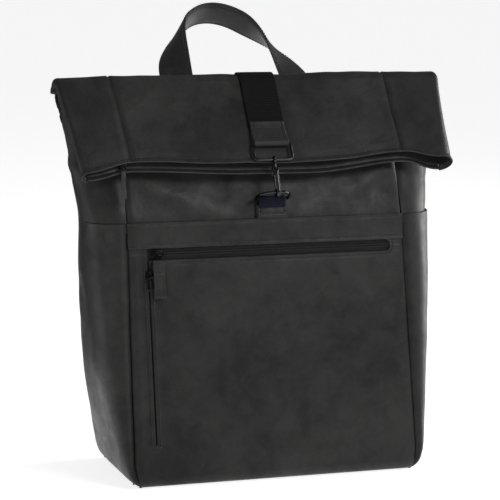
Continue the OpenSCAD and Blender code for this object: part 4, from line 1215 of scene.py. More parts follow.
def d_ring():
    leg = D_REACH - D_HALF
    path = [(x, 0.0) for x in np.linspace(-D_HALF + 2, D_HALF - 2, 16)]
    path += [(D_HALF - 2 + 2 * math.sin(t), -2 + 2 * math.cos(t)) for t in np.radians((20, 45, 70, 90))]
    path += [(D_HALF, -leg + 0.5)]
    path += [(D_HALF * math.cos(t), -leg - D_HALF * math.sin(t)) for t in np.radians(np.linspace(4, 176, 36))]
    path += [(-D_HALF, -leg + 0.5)]
    path += [(-D_HALF + 2 - 2 * math.sin(t), -2 + 2 * math.cos(t)) for t in np.radians((90, 70, 45, 20))]
    wire = tube_data([d_point(x, y) for x, y in path], D_WIRE, 18, closed=True, up=(0, 0, 1))
    piece = to_mesh("d_ring_wire", *wire, MAT["gunmetal"], "d_ring", "gunmetal")
    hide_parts("d_ring")


KEEPER_LEAN = math.atan(UPPER_SLOPE)


def keeper_point(x, y, z):
    """The keeper's frame: y climbs the upper front from the band, z points out of it."""
    return np.stack(np.broadcast_arrays(
        STRAP_X + x, FRONT_BAND_Y - 0.3 + y * math.sin(KEEPER_LEAN) - z * math.cos(KEEPER_LEAN),
        BAND_Z + y * math.cos(KEEPER_LEAN) + z * math.sin(KEEPER_LEAN)), -1)


def keeper():
    bar = D_BAR - keeper_point(-STRAP_X, 0, 0)
    by = bar[1] * math.sin(KEEPER_LEAN) + bar[2] * math.cos(KEEPER_LEAN)
    bz = -bar[1] * math.cos(KEEPER_LEAN) + bar[2] * math.sin(KEEPER_LEAN)
    r = D_WIRE + 1.6
    a = np.radians(np.linspace(10, 170, 15))
    front = np.stack([np.linspace(3, by - 4, 8), 3.0 + (bz + r - 3.4) * np.linspace(0, 1, 8) ** 1.5], 1)
    over = np.stack([by + r * np.sin(a), bz + r * np.cos(a)], 1)
    behind = np.stack([np.linspace(by - 2, 3, 6), np.full(6, 0.25)], 1)
    profile = np.concatenate([front, over, behind])
    xs = samples(-14, 14, 2.6, near=(0.4, 1.1))
    x, h = np.meshgrid(xs, profile[:, 0])
    grid = keeper_point(x, h, np.broadcast_to(profile[:, 1:2], x.shape))
    piece = skin("keeper_webbing", grid, 1.3, MAT["navy"], "bag", "navy_webbing")
    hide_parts("keeper_loop")

    ys = samples(1.0, 14.2, 2.2, (3.2, 12.2), near=(0.4, 0.9, 1.6))
    xs = samples(-16.2, 16.2, 3, (-13.8, 13.8), near=(0.4, 0.9, 1.6))
    x, y = np.meshgrid(xs, ys)
    edge = np.minimum(16.2 - np.abs(x), np.minimum(y - 1.0, 14.2 - y))
    z = 4.1 + 0.7 * np.exp(-((x / 13) ** 4)) * np.exp(-(((y - 8) / 5) ** 4)) + groove(edge - 2.4, 0.5, 0.7)
    z = z - 1.9 * np.exp(-(edge / 1.4)) * 0.5
    piece = skin("keeper_patch_leather", keeper_point(x, y, z), 2.2, MAT["leather"], "bag", swell=0.5)
    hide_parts("keeper_patch")
    # The patch's foot closes the side gap down to the face
    foot = [keeper_point(px, py, 1.0) for px, py in ((-15.8, 1.4), (15.8, 1.4), (15.8, 13.8), (-15.8, 13.8))]
    rim = resample(np.array(foot + foot[:1]), 1.5)[0][:-1]
    rim = tube_data(rim, 1.25, 10, closed=True, up=(0, -1, 0.3))
    to_mesh("keeper_patch_edge", *rim, MAT["leather"], "bag", "leather")
    loop = [(-13.8, 3.4), (13.8, 3.4), (13.8, 11.8), (-13.8, 11.8), (-13.8, 3.4)]
    out_dir = (0, -math.cos(KEEPER_LEAN), math.sin(KEEPER_LEAN))
    runs = sewn_sides(loop, 12, lambda x, y: keeper_point(x, y, 4.05), out_dir)
    stitches("keeper_stitches", runs, "bag", material=MAT["thread_pale"])


closure_webbing()
closure_tip()
closure_ring()
hook()
d_ring()
keeper()


# ---- zips ----

ZIP_S = SLOT_MID_Z / math.cos(FRONT_TILT)
COIL_OFF = -0.9
SLIDER_TOP = COIL_OFF + 1.3 + 3
PULL_OFF = SLIDER_TOP + 1.2
LINK_R = 0.7
LINK_HALF = 2.8


def zip_point(x, s, out):
    """The front face's own plane: s runs up it from the floor and out points away from it."""
    return np.stack(np.broadcast_arrays(
        x, FRONT_BASE_Y + s * math.sin(FRONT_TILT) - out * math.cos(FRONT_TILT),
        s * math.cos(FRONT_TILT) + out * math.sin(FRONT_TILT)), -1)


def mouth_point(x, s, out):
    """The same for the mouth zip: s runs up the flap from its pull's pivot."""
    return flap_point(x, MOUTH_PULL_L - s, (FOLD_R + INNER_R) / 2 + out)


def tape_pair(name, low, high, gap, crest, upright, nodes):
    """Two halves of coated tape that meet over the coil in a fine line."""
    centre = ZIP_S if not upright else SLIT_X
    for side in (-1, 1):
        across = np.array([gap, gap + 0.25, 0.9, 1.5, 2.1, 2.8, 4, 6, 9, 12.6])
        out = -2.05 + (crest + 2.05) * np.exp(-((across - 0.6) / 1.9) ** 4)
        out = out - 0.5 * np.exp(-((across - gap) / 0.35) ** 2)
        run = np.arange(low, high + 0.1, 4.0)
        # Columns run to the right and rows climb, so the low half starts at its far edge
        across, out = across[::side], out[::side]
        if upright:
            cx, ss = np.meshgrid(centre + side * across, run)
            grid = zip_point(cx, ss, np.broadcast_to(out, cx.shape))
        else:
            xx, ss = np.meshgrid(run, centre + side * across)
            grid = zip_point(xx, ss, np.broadcast_to(out[:, None], xx.shape))
        # The upright slit's tape takes the darker copy: painted shade in the slit
        cloth = MAT["tape_black" if upright else "tape"]
        piece = skin(name + ("_a" if side < 0 else "_b"), grid, 0.7, cloth, "bag", "zip_tape")
        if side < 0:
            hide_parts(nodes[0])
    run = np.arange(low + 4, high - 3, 0.62)
    path = zip_point(centre, run, crest - 1.55) if upright else zip_point(run, centre, crest - 1.55)
    radius = 0.66 + 0.18 * np.cos(np.arange(len(run)) * math.pi)
    coil = to_mesh(name + "_coil", *tube_data(path, radius, 8), MAT["coil"], "bag", "zip_coil")
    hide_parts(nodes[1])


def block_data(outline, low, high, soft_edge, place):
    """A solid with rounded edges over an outline of (x, s) pairs, from out low to out high."""
    outline = np.array(outline, float)
    middle = outline.mean(0)
    rings = []
    for t in np.linspace(0, 90, 5):
        inset = soft_edge * (1 - math.sin(math.radians(t)))
        rings.append((inset, low + soft_edge * (1 - math.cos(math.radians(t)))))
    rings += [(i, high - (o - low)) for i, o in rings[::-1]]
    reach = np.abs(outline - middle).max(0)
    verts = [place(*(middle + (p - middle) * (1 - i / reach)), o) for i, o in rings for p in outline]
    return np.array(verts).reshape(-1, 3), ring_faces(len(outline), len(rings))


def eye_data(x, s, out, place):
    """The bridge on a slider that holds the puller's link."""
    turns = np.radians(np.linspace(-35, 215, 15))
    path = [place(x, s + 1.6 * math.cos(t), out + 1.6 * math.sin(t)).ravel() for t in turns]
    return tube_data(path, 0.6, 10, up=(1, 0, 0))


def link_data(x, s, out, length, place, wire=LINK_R):
    """A wire loop that hangs from its upper bar at (x, s)."""
    path = closed_route(rounded(x, s - length / 2, 2 * LINK_HALF, length, 1.3, 5), 0.8)
    return tube_data([place(a, b, out).ravel() for a, b in path], wire, 12, closed=True, up=(0, -1, 0.2))


def zips():
    tape_pair("front_tape", SLOT_X0 - 8, SLOT_X1 + 7.5, 0.18, -0.7, False, ("front_zip_tape", "front_zip_coil"))
    tape_pair("quick_tape", 42, 222, 0.16, -1.7, True, ("quick_zip_tape", "quick_zip_coil"))

    x = pivot("front_pull_flip")[0]
    wedge = [(-6.5, -2.2), (-6.5, 2.2), (-4.5, 4.2), (3, 4.5), (6, 3.0),
             (6.6, 0), (6, -3.0), (3, -4.5), (-4.5, -4.2)]
    wedge = [(x + a, ZIP_S + b) for a, b in wedge][::-1]
    plate = block_data(wedge, 0.6, 2.2, 0.6, zip_point)
    crown = block_data(rounded(x, ZIP_S, 9.5, 4.2, 1.6), 1.8, SLIDER_TOP, 0.7, zip_point)
    slider = merged([plate, crown, eye_data(x, ZIP_S - 1, PULL_OFF, zip_point)])
    piece = to_mesh("front_slider_metal", *slider, MAT["dark_metal"], "front_slider", "gunmetal")
    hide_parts("front_zip_slider")

    s0 = ZIP_S - 1
    wire = link_data(x, s0, PULL_OFF, 6.8, zip_point, 0.58)
    link = to_mesh("front_pull_link", *wire, MAT["dark_metal"], "front_pull", "gunmetal")
    leather_tab("front_pull_tab", x, s0, PULL_OFF)
    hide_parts("front_zip_pull")

    s1 = 214.0
    plate = block_data(rounded(SLIT_X, 216, 7.6, 9.2, 2.2), 0.75, 2.6, 0.6, zip_point)
    crown = block_data(rounded(SLIT_X, 215.6, 3.4, 7, 1.4), 2.2, SLIDER_TOP, 0.6, zip_point)
    slider = merged([plate, crown, eye_data(SLIT_X, s1, PULL_OFF, zip_point)])
    piece = to_mesh("quick_slider_metal", *slider, MAT["dark_metal"], "quick_slider", "gunmetal")
    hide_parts("quick_zip_slider")
    wire = link_data(SLIT_X, s1, PULL_OFF, 13, zip_point)
    piece = to_mesh("quick_pull_link", *wire, MAT["dark_metal"], "quick_pull", "gunmetal")
    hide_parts("quick_zip_pull")


def leather_tab(name, x, s0, out):
    """A strip folded through the link: the front leaf is short and is sewn to the long one behind it."""
    t = 1.05
    a = np.radians(np.linspace(-90, 90, 9))
    bar = s0 - 6.8
    r = LINK_R + 0.25 + t
    half, sewn = 5.6, 3.9
    back = np.stack([np.linspace(s0 - 44, bar - 1.5, 14), np.full(14, t - 0.85)], 1)
    over = np.stack([bar + r * np.cos(a), r * np.sin(a)], 1)
    down = np.array([-2, -4, -6, -8, -10, -12, -13.4])
    front = np.stack([down + bar, np.array([1.75, 1.6, 1.5, 1.45, 1.4, 1.4, 1.35])], 1)
    xs = samples(-half, half, 2.2, (-sewn, sewn), near=(0.3, 0.8))
    for part, profile in (("back", back), ("front", np.concatenate([over, front])[::-1])):
        xx, ss = np.meshgrid(xs, profile[:, 0])
        oo = profile[:, 1:2] + groove(np.abs(xx) - sewn, 0.22, 0.5)
        skin(name + "_" + part, zip_point(x + xx, ss, out + oo), t, MAT["leather_tab"], "front_pull",
             "pull_leather", swell=0.5)
    out_dir = (0, -math.cos(FRONT_TILT), math.sin(FRONT_TILT))
    runs = []
    for side in (-sewn, sewn):
        runs.append((zip_point(x + side, np.linspace(bar - 12.2, bar - 2.5, 8), out + 1.5), out_dir))
        runs.append((zip_point(x + side, np.linspace(s0 - 42, bar - 14.6, 12), out + 0.25), out_dir))
    runs.append((zip_point(x + np.linspace(-sewn, sewn, 6), bar - 12.2, out + 1.45), out_dir))
    runs.append((zip_point(x + np.linspace(-sewn, sewn, 6), s0 - 42, out + 0.25), out_dir))
    stitches(name + "_stitches", runs, "front_pull", thread=0.3, length=2.2)


mouth_zip()
zips()


# ---- handle ----

HANDLE_HALF = 67.0
HANDLE_RISE = 114.0
HANDLE_LEAN = math.radians(42)
HANDLE_SKEW = 0.14
HANDLE_W, HANDLE_T = 35.0, 3.6
HANDLE_FOOT_Z = 384.0
HANDLE_FOOT = np.array([back_y(HANDLE_FOOT_Z) + 3.7, HANDLE_FOOT_Z])


def handle_mid(a):
    rise = HANDLE_RISE * math.sin(a)
    return np.array([HANDLE_HALF * math.cos(a) - HANDLE_SKEW * rise,
                     HANDLE_FOOT[0] + rise * math.sin(HANDLE_LEAN),
                     HANDLE_FOOT[1] + rise * math.cos(HANDLE_LEAN)])


def handle_frames(count):
    """Middle, width direction and face direction along the twisted strap, evenly spaced along it."""
    fine = np.array([handle_mid(a) for a in np.linspace(0, math.pi, 400)])
    run = np.concatenate([[0], np.cumsum(np.linalg.norm(np.diff(fine, axis=0), axis=1))])
    angle = np.interp(np.linspace(0, run[-1], count), run, np.linspace(0, math.pi, 400))
    plane = np.array([0, math.cos(HANDLE_LEAN), -math.sin(HANDLE_LEAN)])
    out = []
    for a in angle:
        along = handle_mid(min(math.pi, a + 0.02)) - handle_mid(max(0, a - 0.02))
        along /= np.linalg.norm(along)
        across = np.cross(plane, along)
        t = min(1, (math.pi / 2 - abs(math.pi / 2 - a)) / math.radians(64))
        turn = math.pi / 2 * (3 * t * t - 2 * t ** 3)
        out.append((handle_mid(a), across * math.cos(turn) + plane * math.sin(turn),
                    plane * math.cos(turn) - across * math.sin(turn)))
    return out


def handle():
    frames = handle_frames(130)
    # Both feet go on down behind the anchors, along the back
    down = np.array([0, math.sin(BACK_TILT), -math.cos(BACK_TILT)])
    foot = [[(p + down * d, w, f) for d in (16, 12, 8, 5, 2.5)] for p, w, f in (frames[0], frames[-1])]
    stations = foot[0] + frames + foot[1][::-1]
    half, t = HANDLE_W / 2, HANDLE_T / 2
    profile = []
    for k in range(36):
        a = 2 * math.pi * k / 36
        c, s = math.cos(a), math.sin(a)
        u = math.copysign(abs(c) ** 0.42, c) * half
        crown = 0.55 * (1 - min(1, abs(u) / (half - 3.4)) ** 2) if abs(u) < half - 3.4 else 0
        pinch_edge = 0.5 * math.exp(-((abs(u) - (half - 3.0)) / 0.9) ** 2)
        v = math.copysign(abs(s) ** 0.6, s) * (t + crown - pinch_edge) if abs(s) > 1e-9 else 0
        profile.append((u, v))
    verts = []
    for n, (p, w, f) in enumerate(stations):
        sag = 0.8 * noise.noise(Vector((n / 9, 3.3, 0.2)))
        verts += [p + w * (u + 0.15 * sag) + f * (v + 0.3 * sag * (1 - abs(u) / half)) for u, v in profile]
    faces = ring_faces(len(profile), len(stations))
    edge = [0.6 if abs(u) > half - 0.8 else 0 for u, _ in profile] * len(stations)
    piece = to_mesh("handle_leather", verts, faces, MAT["leather"], None, "leather", edge=edge)
    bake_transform(piece)
    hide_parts("handle")
    runs = []
    mids, wide, face = (np.array(part) for part in zip(*frames))
    for k in (-1, 1):
        for front in (-1, 1):
            runs.append((mids + wide * k * (half - 3.0) + face * front * (t - 0.22), face * front))
    thread = stitches("handle_stitches", runs, None, thread=0.42)
    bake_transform(thread)


def handle_anchors():
    """A leather patch over each foot, sewn round its edge and across."""
    pieces, runs = [], []
    for side in (-1, 1):
        xs = samples(-17.8, 17.8, 3, (-15.4, 15.4), near=(0.4, 1.0, 1.8))
        ss = samples(365.4, 381.2, 2.4, (367.4, 379.2), near=(0.4, 1.0))
        x, s = np.meshgrid(xs, ss)
        edge = np.minimum(17.8 - np.abs(x), np.minimum(s - 365.4, 381.2 - s))
        z = 4.4 + 0.3 * np.exp(-(x / 14) ** 4) - 1.2 * np.exp(-edge / 1.0) + groove(edge - 2.2, 0.3, 0.6)
        grid = back_point(side * HANDLE_HALF - x, s, z)
        pieces.append(skin_data(grid, 1.9, swell=0.6))
        loop = [(-15.5, 367.6), (15.5, 367.6), (15.5, 379.0), (-15.5, 379.0), (-15.5, 367.6), (15.5, 379.0)]
        runs += sewn_sides(loop, 12, lambda x, s: back_point(side * HANDLE_HALF + x, s, 4.45), BACK_OUT)
    verts, faces = merged([(v, f) for v, f, _, _ in pieces])
    piece = to_mesh("handle_anchor_leather", verts, faces, MAT["leather"], "bag", "leather",
                    edge=np.concatenate([e for _, _, e, _ in pieces]))
    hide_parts("handle_anchors")
    stitches("handle_anchor_stitches", runs, "bag")


handle()
handle_anchors()


# ---- back and shoulder straps ----


def edge_loop(x0, x1, y0, y1, r, steps=7):
    """A rounded rectangle as (x, y) pairs."""
    return rounded((x0 + x1) / 2, (y0 + y1) / 2, x1 - x0, y1 - y0, r, steps)


def strap_swell(x, s):
    """The yoke stands up a little over each strap's top."""
    return 1.2 * np.exp(-((np.abs(x) - 46) / 30) ** 4) * np.clip((365 - s) / 14, 0, 1)


def yoke():
    xs = samples(-88, 88, 5, (-85, 85))
    ss = samples(344, 365, 3, (347, 362))
    x, s = np.meshgrid(xs, ss)
    edge = np.minimum(88 - np.abs(x), np.minimum(s - 344, 365 - s))
    z = 2.6 + 0.3 * waves(back_point(x, s), 30, 1.0) + groove(edge - 3, 0.4, 0.7)
    z = z - 0.8 * np.exp(-edge / 0.8) + strap_swell(x, s)
    piece = skin("yoke_leather", back_point(-x, s, z), 2.0, MAT["leather"], "bag", swell=0.5)
    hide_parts("strap_yoke")
    loop = [(-85, 347), (85, 347), (85, 362), (-85, 362), (-85, 347)]
    runs = sewn_sides(loop, 60, lambda x, s: back_point(x, s, 2.5 + strap_swell(x, s)), BACK_OUT)
    stitches("yoke_stitches", runs, "bag")


def copy_of(node, name):
    """A free copy of a CAD node's shape, in the row frame."""
    source = frame["nodes"][node]
    copy = source.copy()
    copy.data = source.data.copy()
    copy.data.materials.clear()
    world = source.matrix_world.copy()
    copy.parent = None
    copy.matrix_world = world
    copy.name = name
    bpy.context.scene.collection.objects.link(copy)
    copy.data.transform(world)
    copy.matrix_world = Matrix.Identity(4)
    return copy


def in_context(piece):
    bpy.ops.object.select_all(action="DESELECT")
    piece.select_set(True)
    bpy.context.view_layer.objects.active = piece


def stuffed(node, name, material, voxel=0.005, pressure=4.0, cap=0.006, frames=20):
    """Blows a copy of the CAD shape up a little as cloth, so that it reads as foam in a cover."""
    piece = copy_of(node, name)
    in_context(piece)
    remesh = piece.modifiers.new("remesh", "REMESH")
    remesh.mode = "VOXEL"
    remesh.voxel_size = voxel
    bpy.ops.object.modifier_apply(modifier=remesh.name)
    rest = np.array([v.co[:] for v in piece.data.vertices])
    cloth = piece.modifiers.new("cloth", "CLOTH")
    cloth.settings.use_pressure = True
    cloth.settings.uniform_pressure_force = pressure
    cloth.settings.tension_stiffness = 12
    cloth.settings.compression_stiffness = 12
    cloth.settings.shear_stiffness = 6
    cloth.settings.bending_stiffness = 0.6
    cloth.settings.effector_weights.gravity = 0
    cloth.point_cache.frame_start = 1
    cloth.point_cache.frame_end = frames
    scene = bpy.context.scene
    for k in range(1, frames + 1):
        scene.frame_set(k)
    shaped = piece.evaluated_get(bpy.context.evaluated_depsgraph_get())
    moved = np.array([v.co[:] for v in shaped.data.vertices])
    piece.modifiers.remove(cloth)
    scene.frame_set(1)
    shift = moved - rest
    size = np.linalg.norm(shift, axis=1, keepdims=True)
    shift = shift * np.minimum(1, cap / np.maximum(size, 1e-9))
    for vert, co in zip(piece.data.vertices, rest + shift):
        vert.co = co
    soften = piece.modifiers.new("soften", "SMOOTH")
    soften.factor = 0.5
    soften.iterations = 4
    bpy.ops.object.modifier_apply(modifier=soften.name)
    finer = piece.modifiers.new("finer", "SUBSURF")
    finer.levels = finer.render_levels = 1
    bpy.ops.object.modifier_apply(modifier=finer.name)
    piece.data.shade_smooth()
    piece.data.materials.append(material)
    return piece


def sculpt(piece, change):
    """Moves each vertex by change(points, normals), all in millimetres."""
    mesh = piece.data
    points = np.empty(len(mesh.vertices) * 3)
    normals = np.empty(len(mesh.vertices) * 3)
    mesh.vertices.foreach_get("co", points)
    mesh.vertices.foreach_get("normal", normals)
    points = points.reshape(-1, 3) * 1000
    points = change(points, normals.reshape(-1, 3))
    mesh.vertices.foreach_set("co", (points / 1000).ravel())
    mesh.update()


def inside():
    """The lining and its pockets: thin cloth with a little slack in it."""
    for node in ("lining", "laptop_divider", "slip_pocket", "front_pocket_bag", "quick_pocket_bag"):
        piece = copy_of(node, node + "_cloth")
        in_context(piece)
        finer = piece.modifiers.new("finer", "SUBSURF")
        finer.subdivision_type = "SIMPLE"
        finer.levels = finer.render_levels = 1 if node == "lining" else 2
        bpy.ops.object.modifier_apply(modifier=finer.name)
        sculpt(piece, lambda p, n: p + np.stack([0 * p[:, 0], soft(p + 31, 0.25, 34, 3.0), 0 * p[:, 0]], 1))
        piece.data.shade_smooth()
        piece.data.materials.append(MAT["lining"])
        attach(piece, "bag")
        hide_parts(node)


def back_pads():
    for side, name in ((-1, "left"), (1, "right")):
        pad = stuffed("back_pad_" + name, "back_pad_cover_" + name, MAT["mesh"], cap=0.004)

        def shape(p, n, side=side):
            s = (p[:, 2] - (p[:, 1] - BACK_BASE_Y) * math.tan(BACK_TILT)) / math.cos(BACK_TILT)
            facing = np.clip(n[:, 1], 0, 1)
            edge = np.minimum(52 - np.abs(p[:, 0] - side * 64), 103 - np.abs(s - 219))
            dip = groove(edge - 5.5, 1.6, 1.6) - 2.2 * np.exp(-np.clip(edge, 0, 40) / 5.0)
            # Three quilted bars cross the pad
            for line in (167.5, 219, 270.5):
                dip = dip + groove(s - line, 3.2, 4.5) * (edge > 3)
            return p + n * (dip * facing)[:, None]

        sculpt(pad, shape)
        pad.data.shade_smooth()
        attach(pad, "bag")
        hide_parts("back_pad_" + name)
        outline = np.array(edge_loop(side * 64 - 50.5, side * 64 + 50.5, 117.5, 320.5, 21))
        path = back_point(outline[:, 0], outline[:, 1], 1.4)
        path = resample(np.concatenate([path, path[:1]]), 3.0)[0][:-1]
        piping = tube_data(path, 1.7, 10, closed=True, up=BACK_OUT)
        to_mesh("back_pad_piping_" + name, *piping, MAT["leather"], "bag", "leather")


PAD_TOP, PAD_LOW = 340.0, 128.0


def pad_mid(t):
    t = np.asarray(t, float)
    z = PAD_TOP + (PAD_LOW - PAD_TOP) * t
    out = 7 + 9.5 * np.sin(np.radians(90 * np.minimum(1, t / 0.08)))
    return 46 + 40 * t ** 1.4, back_y(z) + out + 5 * np.sin(math.pi * t), z


def pad_width(t):
    return 62 - 12 * t


def shoulder_straps():
    for side, name in ((-1, "left"), (1, "right")):
        strap = stuffed("shoulder_strap_" + name, "shoulder_pad_" + name, MAT["mesh"], voxel=0.0045, cap=0.0035)

        def shape(p, n, side=side):
            t = np.clip((PAD_TOP - p[:, 2]) / (PAD_TOP - PAD_LOW), 0, 1)
            mid, y, _ = pad_mid(t)
            u = p[:, 0] * side - mid
            half = pad_width(t) / 2
            edge = np.minimum(half - np.abs(u), (1 - t) * (PAD_TOP - PAD_LOW) + 2)
            flat = np.abs(n[:, 1])
            dip = flat * (groove(edge - 6, 1.3, 1.6) - 1.5 * np.exp(-np.clip(edge, 0, 40) / 4.0))
            return p + n * dip[:, None]

        sculpt(strap, shape)
        strap.data.shade_smooth()
        body = "strap_" + name
        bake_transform(strap)
        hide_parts("shoulder_strap_" + name)

        # Binding tape round the pad's edge
        t = np.linspace(0.03, 1, 60)
        mid, y, z = pad_mid(t)
        left = np.stack([side * (mid - pad_width(t) / 2 - 0.4), y, z], 1)
        right = np.stack([side * (mid + pad_width(t) / 2 + 0.4), y, z], 1)
        foot_mid, foot_y, foot_z = pad_mid(1.0)
        a = np.linspace(-1, 1, 18)[1:-1]
        foot = side * (foot_mid + a * pad_width(1.0) / 2)
        foot = np.stack([foot, np.full(16, foot_y), np.full(16, foot_z - 0.6)], 1)
        path = resample(np.concatenate([left, foot, right[::-1]]), 3.0)[0]
        tape = tube_data(path, 1.9, 10, up=(0, 1, 0), squash=1.7)
        binding = to_mesh("shoulder_binding_" + name, *tape, MAT["webbing_plain"], None, "webbing")
        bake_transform(binding)

        # A strip of webbing runs down the middle of the pad and ends in a bar of stitches
        t = np.linspace(0.10, 0.985, 60)
        mid, y, z = pad_mid(t)
        us = np.linspace(-12.5, 12.5, 9)
        tt, uu = np.meshgrid(t[::-1], us, indexing="ij")
        m2, y2, z2 = pad_mid(tt)
        lift = y2 + 4.5 + 3.1 - 0.25 * (np.abs(uu) > 11)
        grid = np.stack([side * m2 - uu, lift, z2], -1)
        skin("shoulder_webbing_" + name, grid, 1.5, MAT["webbing"], body, "webbing")
        runs = []
        for off in (-10.5, 10.5):
            runs.append((np.stack([side * mid + off, y + 7.65, z], 1), (0, 1, 0)))
        for tz in (0.12, 0.3, 0.5, 0.7, 0.9):
            m1, y1, z1 = pad_mid(tz)
            across = side * m1 + np.linspace(-10.5, 10.5, 8)
            runs.append((np.stack([across, np.full(8, y1 + 7.65), np.full(8, z1)], 1), (0, 1, 0)))
        stitches("shoulder_stitches_" + name, runs, body)


def adjusters():
    """Moulded three-bar buckles with the webbing wound through them."""
    mx, my, mz = (float(v) for v in pad_mid(1.0))
    mz -= 15
    us = np.linspace(-12.5, 12.5, 9)
    for side, name in ((-1, "left"), (1, "right")):
        body = "strap_" + name

        def place(x, s, out, side=side):
            return np.array([side * mx + x, my + out, mz + s])

        outline = closed_route(rounded(0, 0, 30.6, 24.6, 3.5), 1.4)
        parts = [tube_data([place(a, b, 0) for a, b in outline], 1.9, 12, closed=True, up=(0, 1, 0))]
        for s in (-3.4, 3.4):
            bar = [place(a, s, 0) for a in np.linspace(-14.5, 14.5, 9)]
            parts.append(tube_data(bar, 1.5, 10, up=(0, 1, 0)))
        piece = to_mesh("strap_buckle_" + name, *merged(parts), MAT["plastic"], body, "plastic")
        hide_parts("strap_adjuster_" + name)

        # The pad's own loop of webbing holds the buckle's top bar
        loop = np.array([(24, 3.4), (19, 3.2), (16, 2.9), (14, 2.4), (12.3, 2.3), (10.6, 1.9), (9.7, 0.8),
                         (9.7, -0.8), (10.6, -1.9), (12.3, -2.4), (15, -2.8), (19, -3.0)])[::-1]
        x, h = np.meshgrid(us[::-1], loop[:, 0])
        out = np.broadcast_to(loop[:, 1:2], x.shape)
        grid = np.stack([side * mx + x, my + out, mz + h], -1)
        skin("strap_loop_" + name, grid, 1.1, MAT["webbing"], body, "webbing")

        # The long part runs from the tab in the side seam up to the buckle
        low = np.array([side * 166.0, back_y(88.0) + 6, 92.0])
        high = np.array([side * mx, my - 3.6, mz - 14])
        across = np.array([side * (high[2] - low[2]), 0, side * (low[0] - high[0])])
        across *= np.sign(across[0]) / np.linalg.norm(across)
        k = np.linspace(0, 1, 40)
        sag = np.stack([0 * k, np.sin(math.pi * k), -2 * np.sin(math.pi * k)], 1)
        line = low + (high - low) * k[:, None] + sag
        line = np.concatenate([line, high + np.array([(0, 0.8, 4), (0, 2.2, 8.6), (0, 3.7, 10.4)])])
        level = np.concatenate([k ** 3, [1, 1, 1]])[:, None]
        dirs = across * (1 - level) + np.array([1.0, 0, 0]) * level
        dirs /= np.linalg.norm(dirs, axis=1, keepdims=True)
        grid = line[:, None] - dirs[:, None] * us[None, :, None]
        piece = skin("strap_lower_" + name, grid + (0, WEB_T / 2, 0), WEB_T, MAT["webbing"], None, "webbing")
        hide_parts("strap_webbing_" + name)
        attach(piece, "bag")

        # The loose end hangs outside it
        zs = np.linspace(44, mz - 3, 34)
        u, z = np.meshgrid(us[::-1], zs)
        y = my + 3.3 + 1.2 * np.sin((z - 44) / 24) * np.clip((mz - z) / 20, 0, 1)
        grid = np.stack([side * mx + u, y, z], -1)
        piece = skin("strap_end_" + name, grid, WEB_T, MAT["webbing"], body, "webbing")
        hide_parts("strap_tail_" + name)
        hem = np.linspace(-11, 11, 10)
        hems = [(my + 3.35 + 1.2 * math.sin((h - 44) / 24), h) for h in (50, 54)]
        runs = [(np.stack([side * mx + hem, np.full(10, out), np.full(10, h)], 1), (0, 1, 0)) for out, h in hems]
        stitches("strap_end_stitches_" + name, runs, body)


def lower_tabs():
    shape = [(128, 58), (150, 54), (170, 78), (170, 100), (150, 114), (128, 110)]
    for side, name in ((-1, "left"), (1, "right")):
        outline = []
        pts = np.array(shape, float)
        for k in range(len(pts)):
            a, b, c = pts[k - 1], pts[k], pts[(k + 1) % len(pts)]
            p0 = b + (a - b) / np.linalg.norm(a - b) * 4
            p1 = b + (c - b) / np.linalg.norm(c - b) * 4
            for t in (0, 0.33, 0.67, 1):
                outline.append((1 - t) ** 2 * p0 + 2 * t * (1 - t) * b + t * t * p1)
        outline = closed_route(outline, 2.0)

        def place(x, s, out, side=side):
            return back_point(side * x, s, out)

        verts, faces = block_data(outline, 0.6, 4.6, 1.1, place)
        piece = to_mesh("lower_tab_leather_" + name, verts, faces, MAT["leather"], "bag", "leather")
        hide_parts("lower_tab_" + name)
        middle = outline.mean(0)
        inner = middle + (outline - middle) * 0.84
        path = back_point(side * inner[:, 0], inner[:, 1], 4.6)
        runs = [(np.concatenate([path, path[:1]]), BACK_OUT)]
        stitches("lower_tab_stitches_" + name, runs, "bag")


yoke()
inside()
back_pads()
shoulder_straps()
adjusters()
lower_tabs()


# ---- light, floor and finish ----


def add_light(name, where, aim, size, power):
    light = bpy.data.lights.new(name, "AREA")
    light.shape = "RECTANGLE"
    light.size, light.size_y = size
    light.energy = power
    lamp = bpy.data.objects.new(name, light)
    bpy.context.scene.collection.objects.link(lamp)
    lamp.location = where
    lamp.rotation_euler = (Vector(aim) - Vector(where)).to_track_quat("-Z", "Y").to_euler()


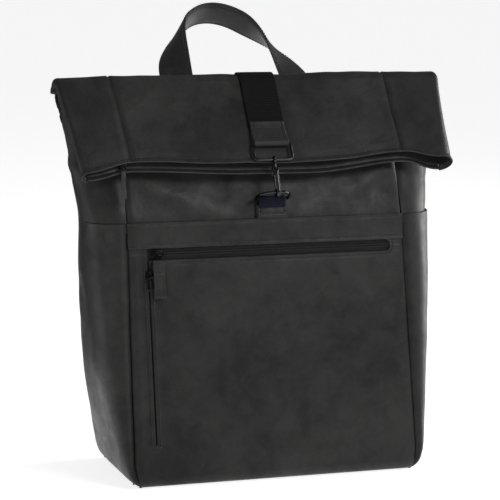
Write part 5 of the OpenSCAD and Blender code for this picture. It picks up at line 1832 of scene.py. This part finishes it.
def studio():
    world = bpy.data.worlds.new("studio")
    world.use_nodes = True
    bpy.context.scene.world = world
    tree = world.node_tree
    tree.nodes["Background"].inputs["Color"].default_value = (1, 1, 1, 1)
    tree.nodes["Background"].inputs["Strength"].default_value = 0.15
    seen = tree.nodes.new("ShaderNodeBackground")
    seen.inputs["Color"].default_value = (1, 1, 1, 1)
    path = tree.nodes.new("ShaderNodeLightPath")
    mix = tree.nodes.new("ShaderNodeMixShader")
    tree.links.new(path.outputs["Is Camera Ray"], mix.inputs[0])
    tree.links.new(tree.nodes["Background"].outputs[0], mix.inputs[1])
    tree.links.new(seen.outputs[0], mix.inputs[2])
    tree.links.new(mix.outputs[0], tree.nodes["World Output"].inputs[0])

    floor = Graph("floor")
    floor.shade(Base_Color=grey(0.86), Roughness=0.6, Emission_Color=(1, 1, 1, 1), Emission_Strength=0.78)
    mesh = bpy.data.meshes.new("studio_floor")
    bm = bmesh.new()
    bmesh.ops.create_circle(bm, cap_ends=True, radius=45, segments=64)
    bm.to_mesh(mesh)
    bm.free()
    mesh.materials.append(floor.material)
    ground = bpy.data.objects.new("studio_floor", mesh)
    ground.location.z = -0.0006
    bpy.context.scene.collection.objects.link(ground)

    middle = (0, 0, 0.22)
    add_light("key", (1.25, -1.9, 1.75), middle, (1.2, 1.0), 24)
    add_light("fill", (-1.7, -1.7, 1.1), middle, (1.2, 1.2), 3.5)
    add_light("left_rim", (-1.9, 0.35, 0.55), middle, (0.4, 1.2), 3)
    add_light("right_rim", (1.9, 0.3, 0.6), middle, (0.5, 1.3), 26)
    add_light("top", (0.1, 0.3, 2.2), middle, (1.6, 1.0), 2)

    # A black card behind the bag's left side, hidden from the camera, keeps that side dark
    card = bpy.data.meshes.new("black_card")
    corners = [(-0.62, 0.36, 0), (-0.23, 0.36, 0), (-0.23, 0.36, 0.6), (-0.62, 0.36, 0.6)]
    card.from_pydata(corners, [], [(0, 1, 2, 3)])
    black = Graph("black_card")
    card.materials.append(black.shade(Base_Color=grey(0.004), Roughness=0.9, Specular_IOR_Level=0.0))
    card = bpy.data.objects.new("black_card", card)
    card.visible_camera = False
    bpy.context.scene.collection.objects.link(card)
    bpy.context.scene.view_settings.view_transform = "Standard"


def paint_cad_nodes():
    """Every CAD node that still shows gets its finish."""
    finish = {"leather": "leather", "pull_leather": "leather_tab", "lining": "lining", "zip_tape": "tape",
              "zip_coil": "coil", "webbing": "webbing", "navy_webbing": "navy", "mesh": "mesh",
              "gunmetal": "gunmetal", "plastic": "plastic"}
    slots = {part["node"]: part["material_slot"] for part in frame["record"]["subparts"]}
    for name, node in frame["nodes"].items():
        node.data.materials.clear()
        node.data.materials.append(MAT[finish[slots[name]]])


paint_cad_nodes()
studio()
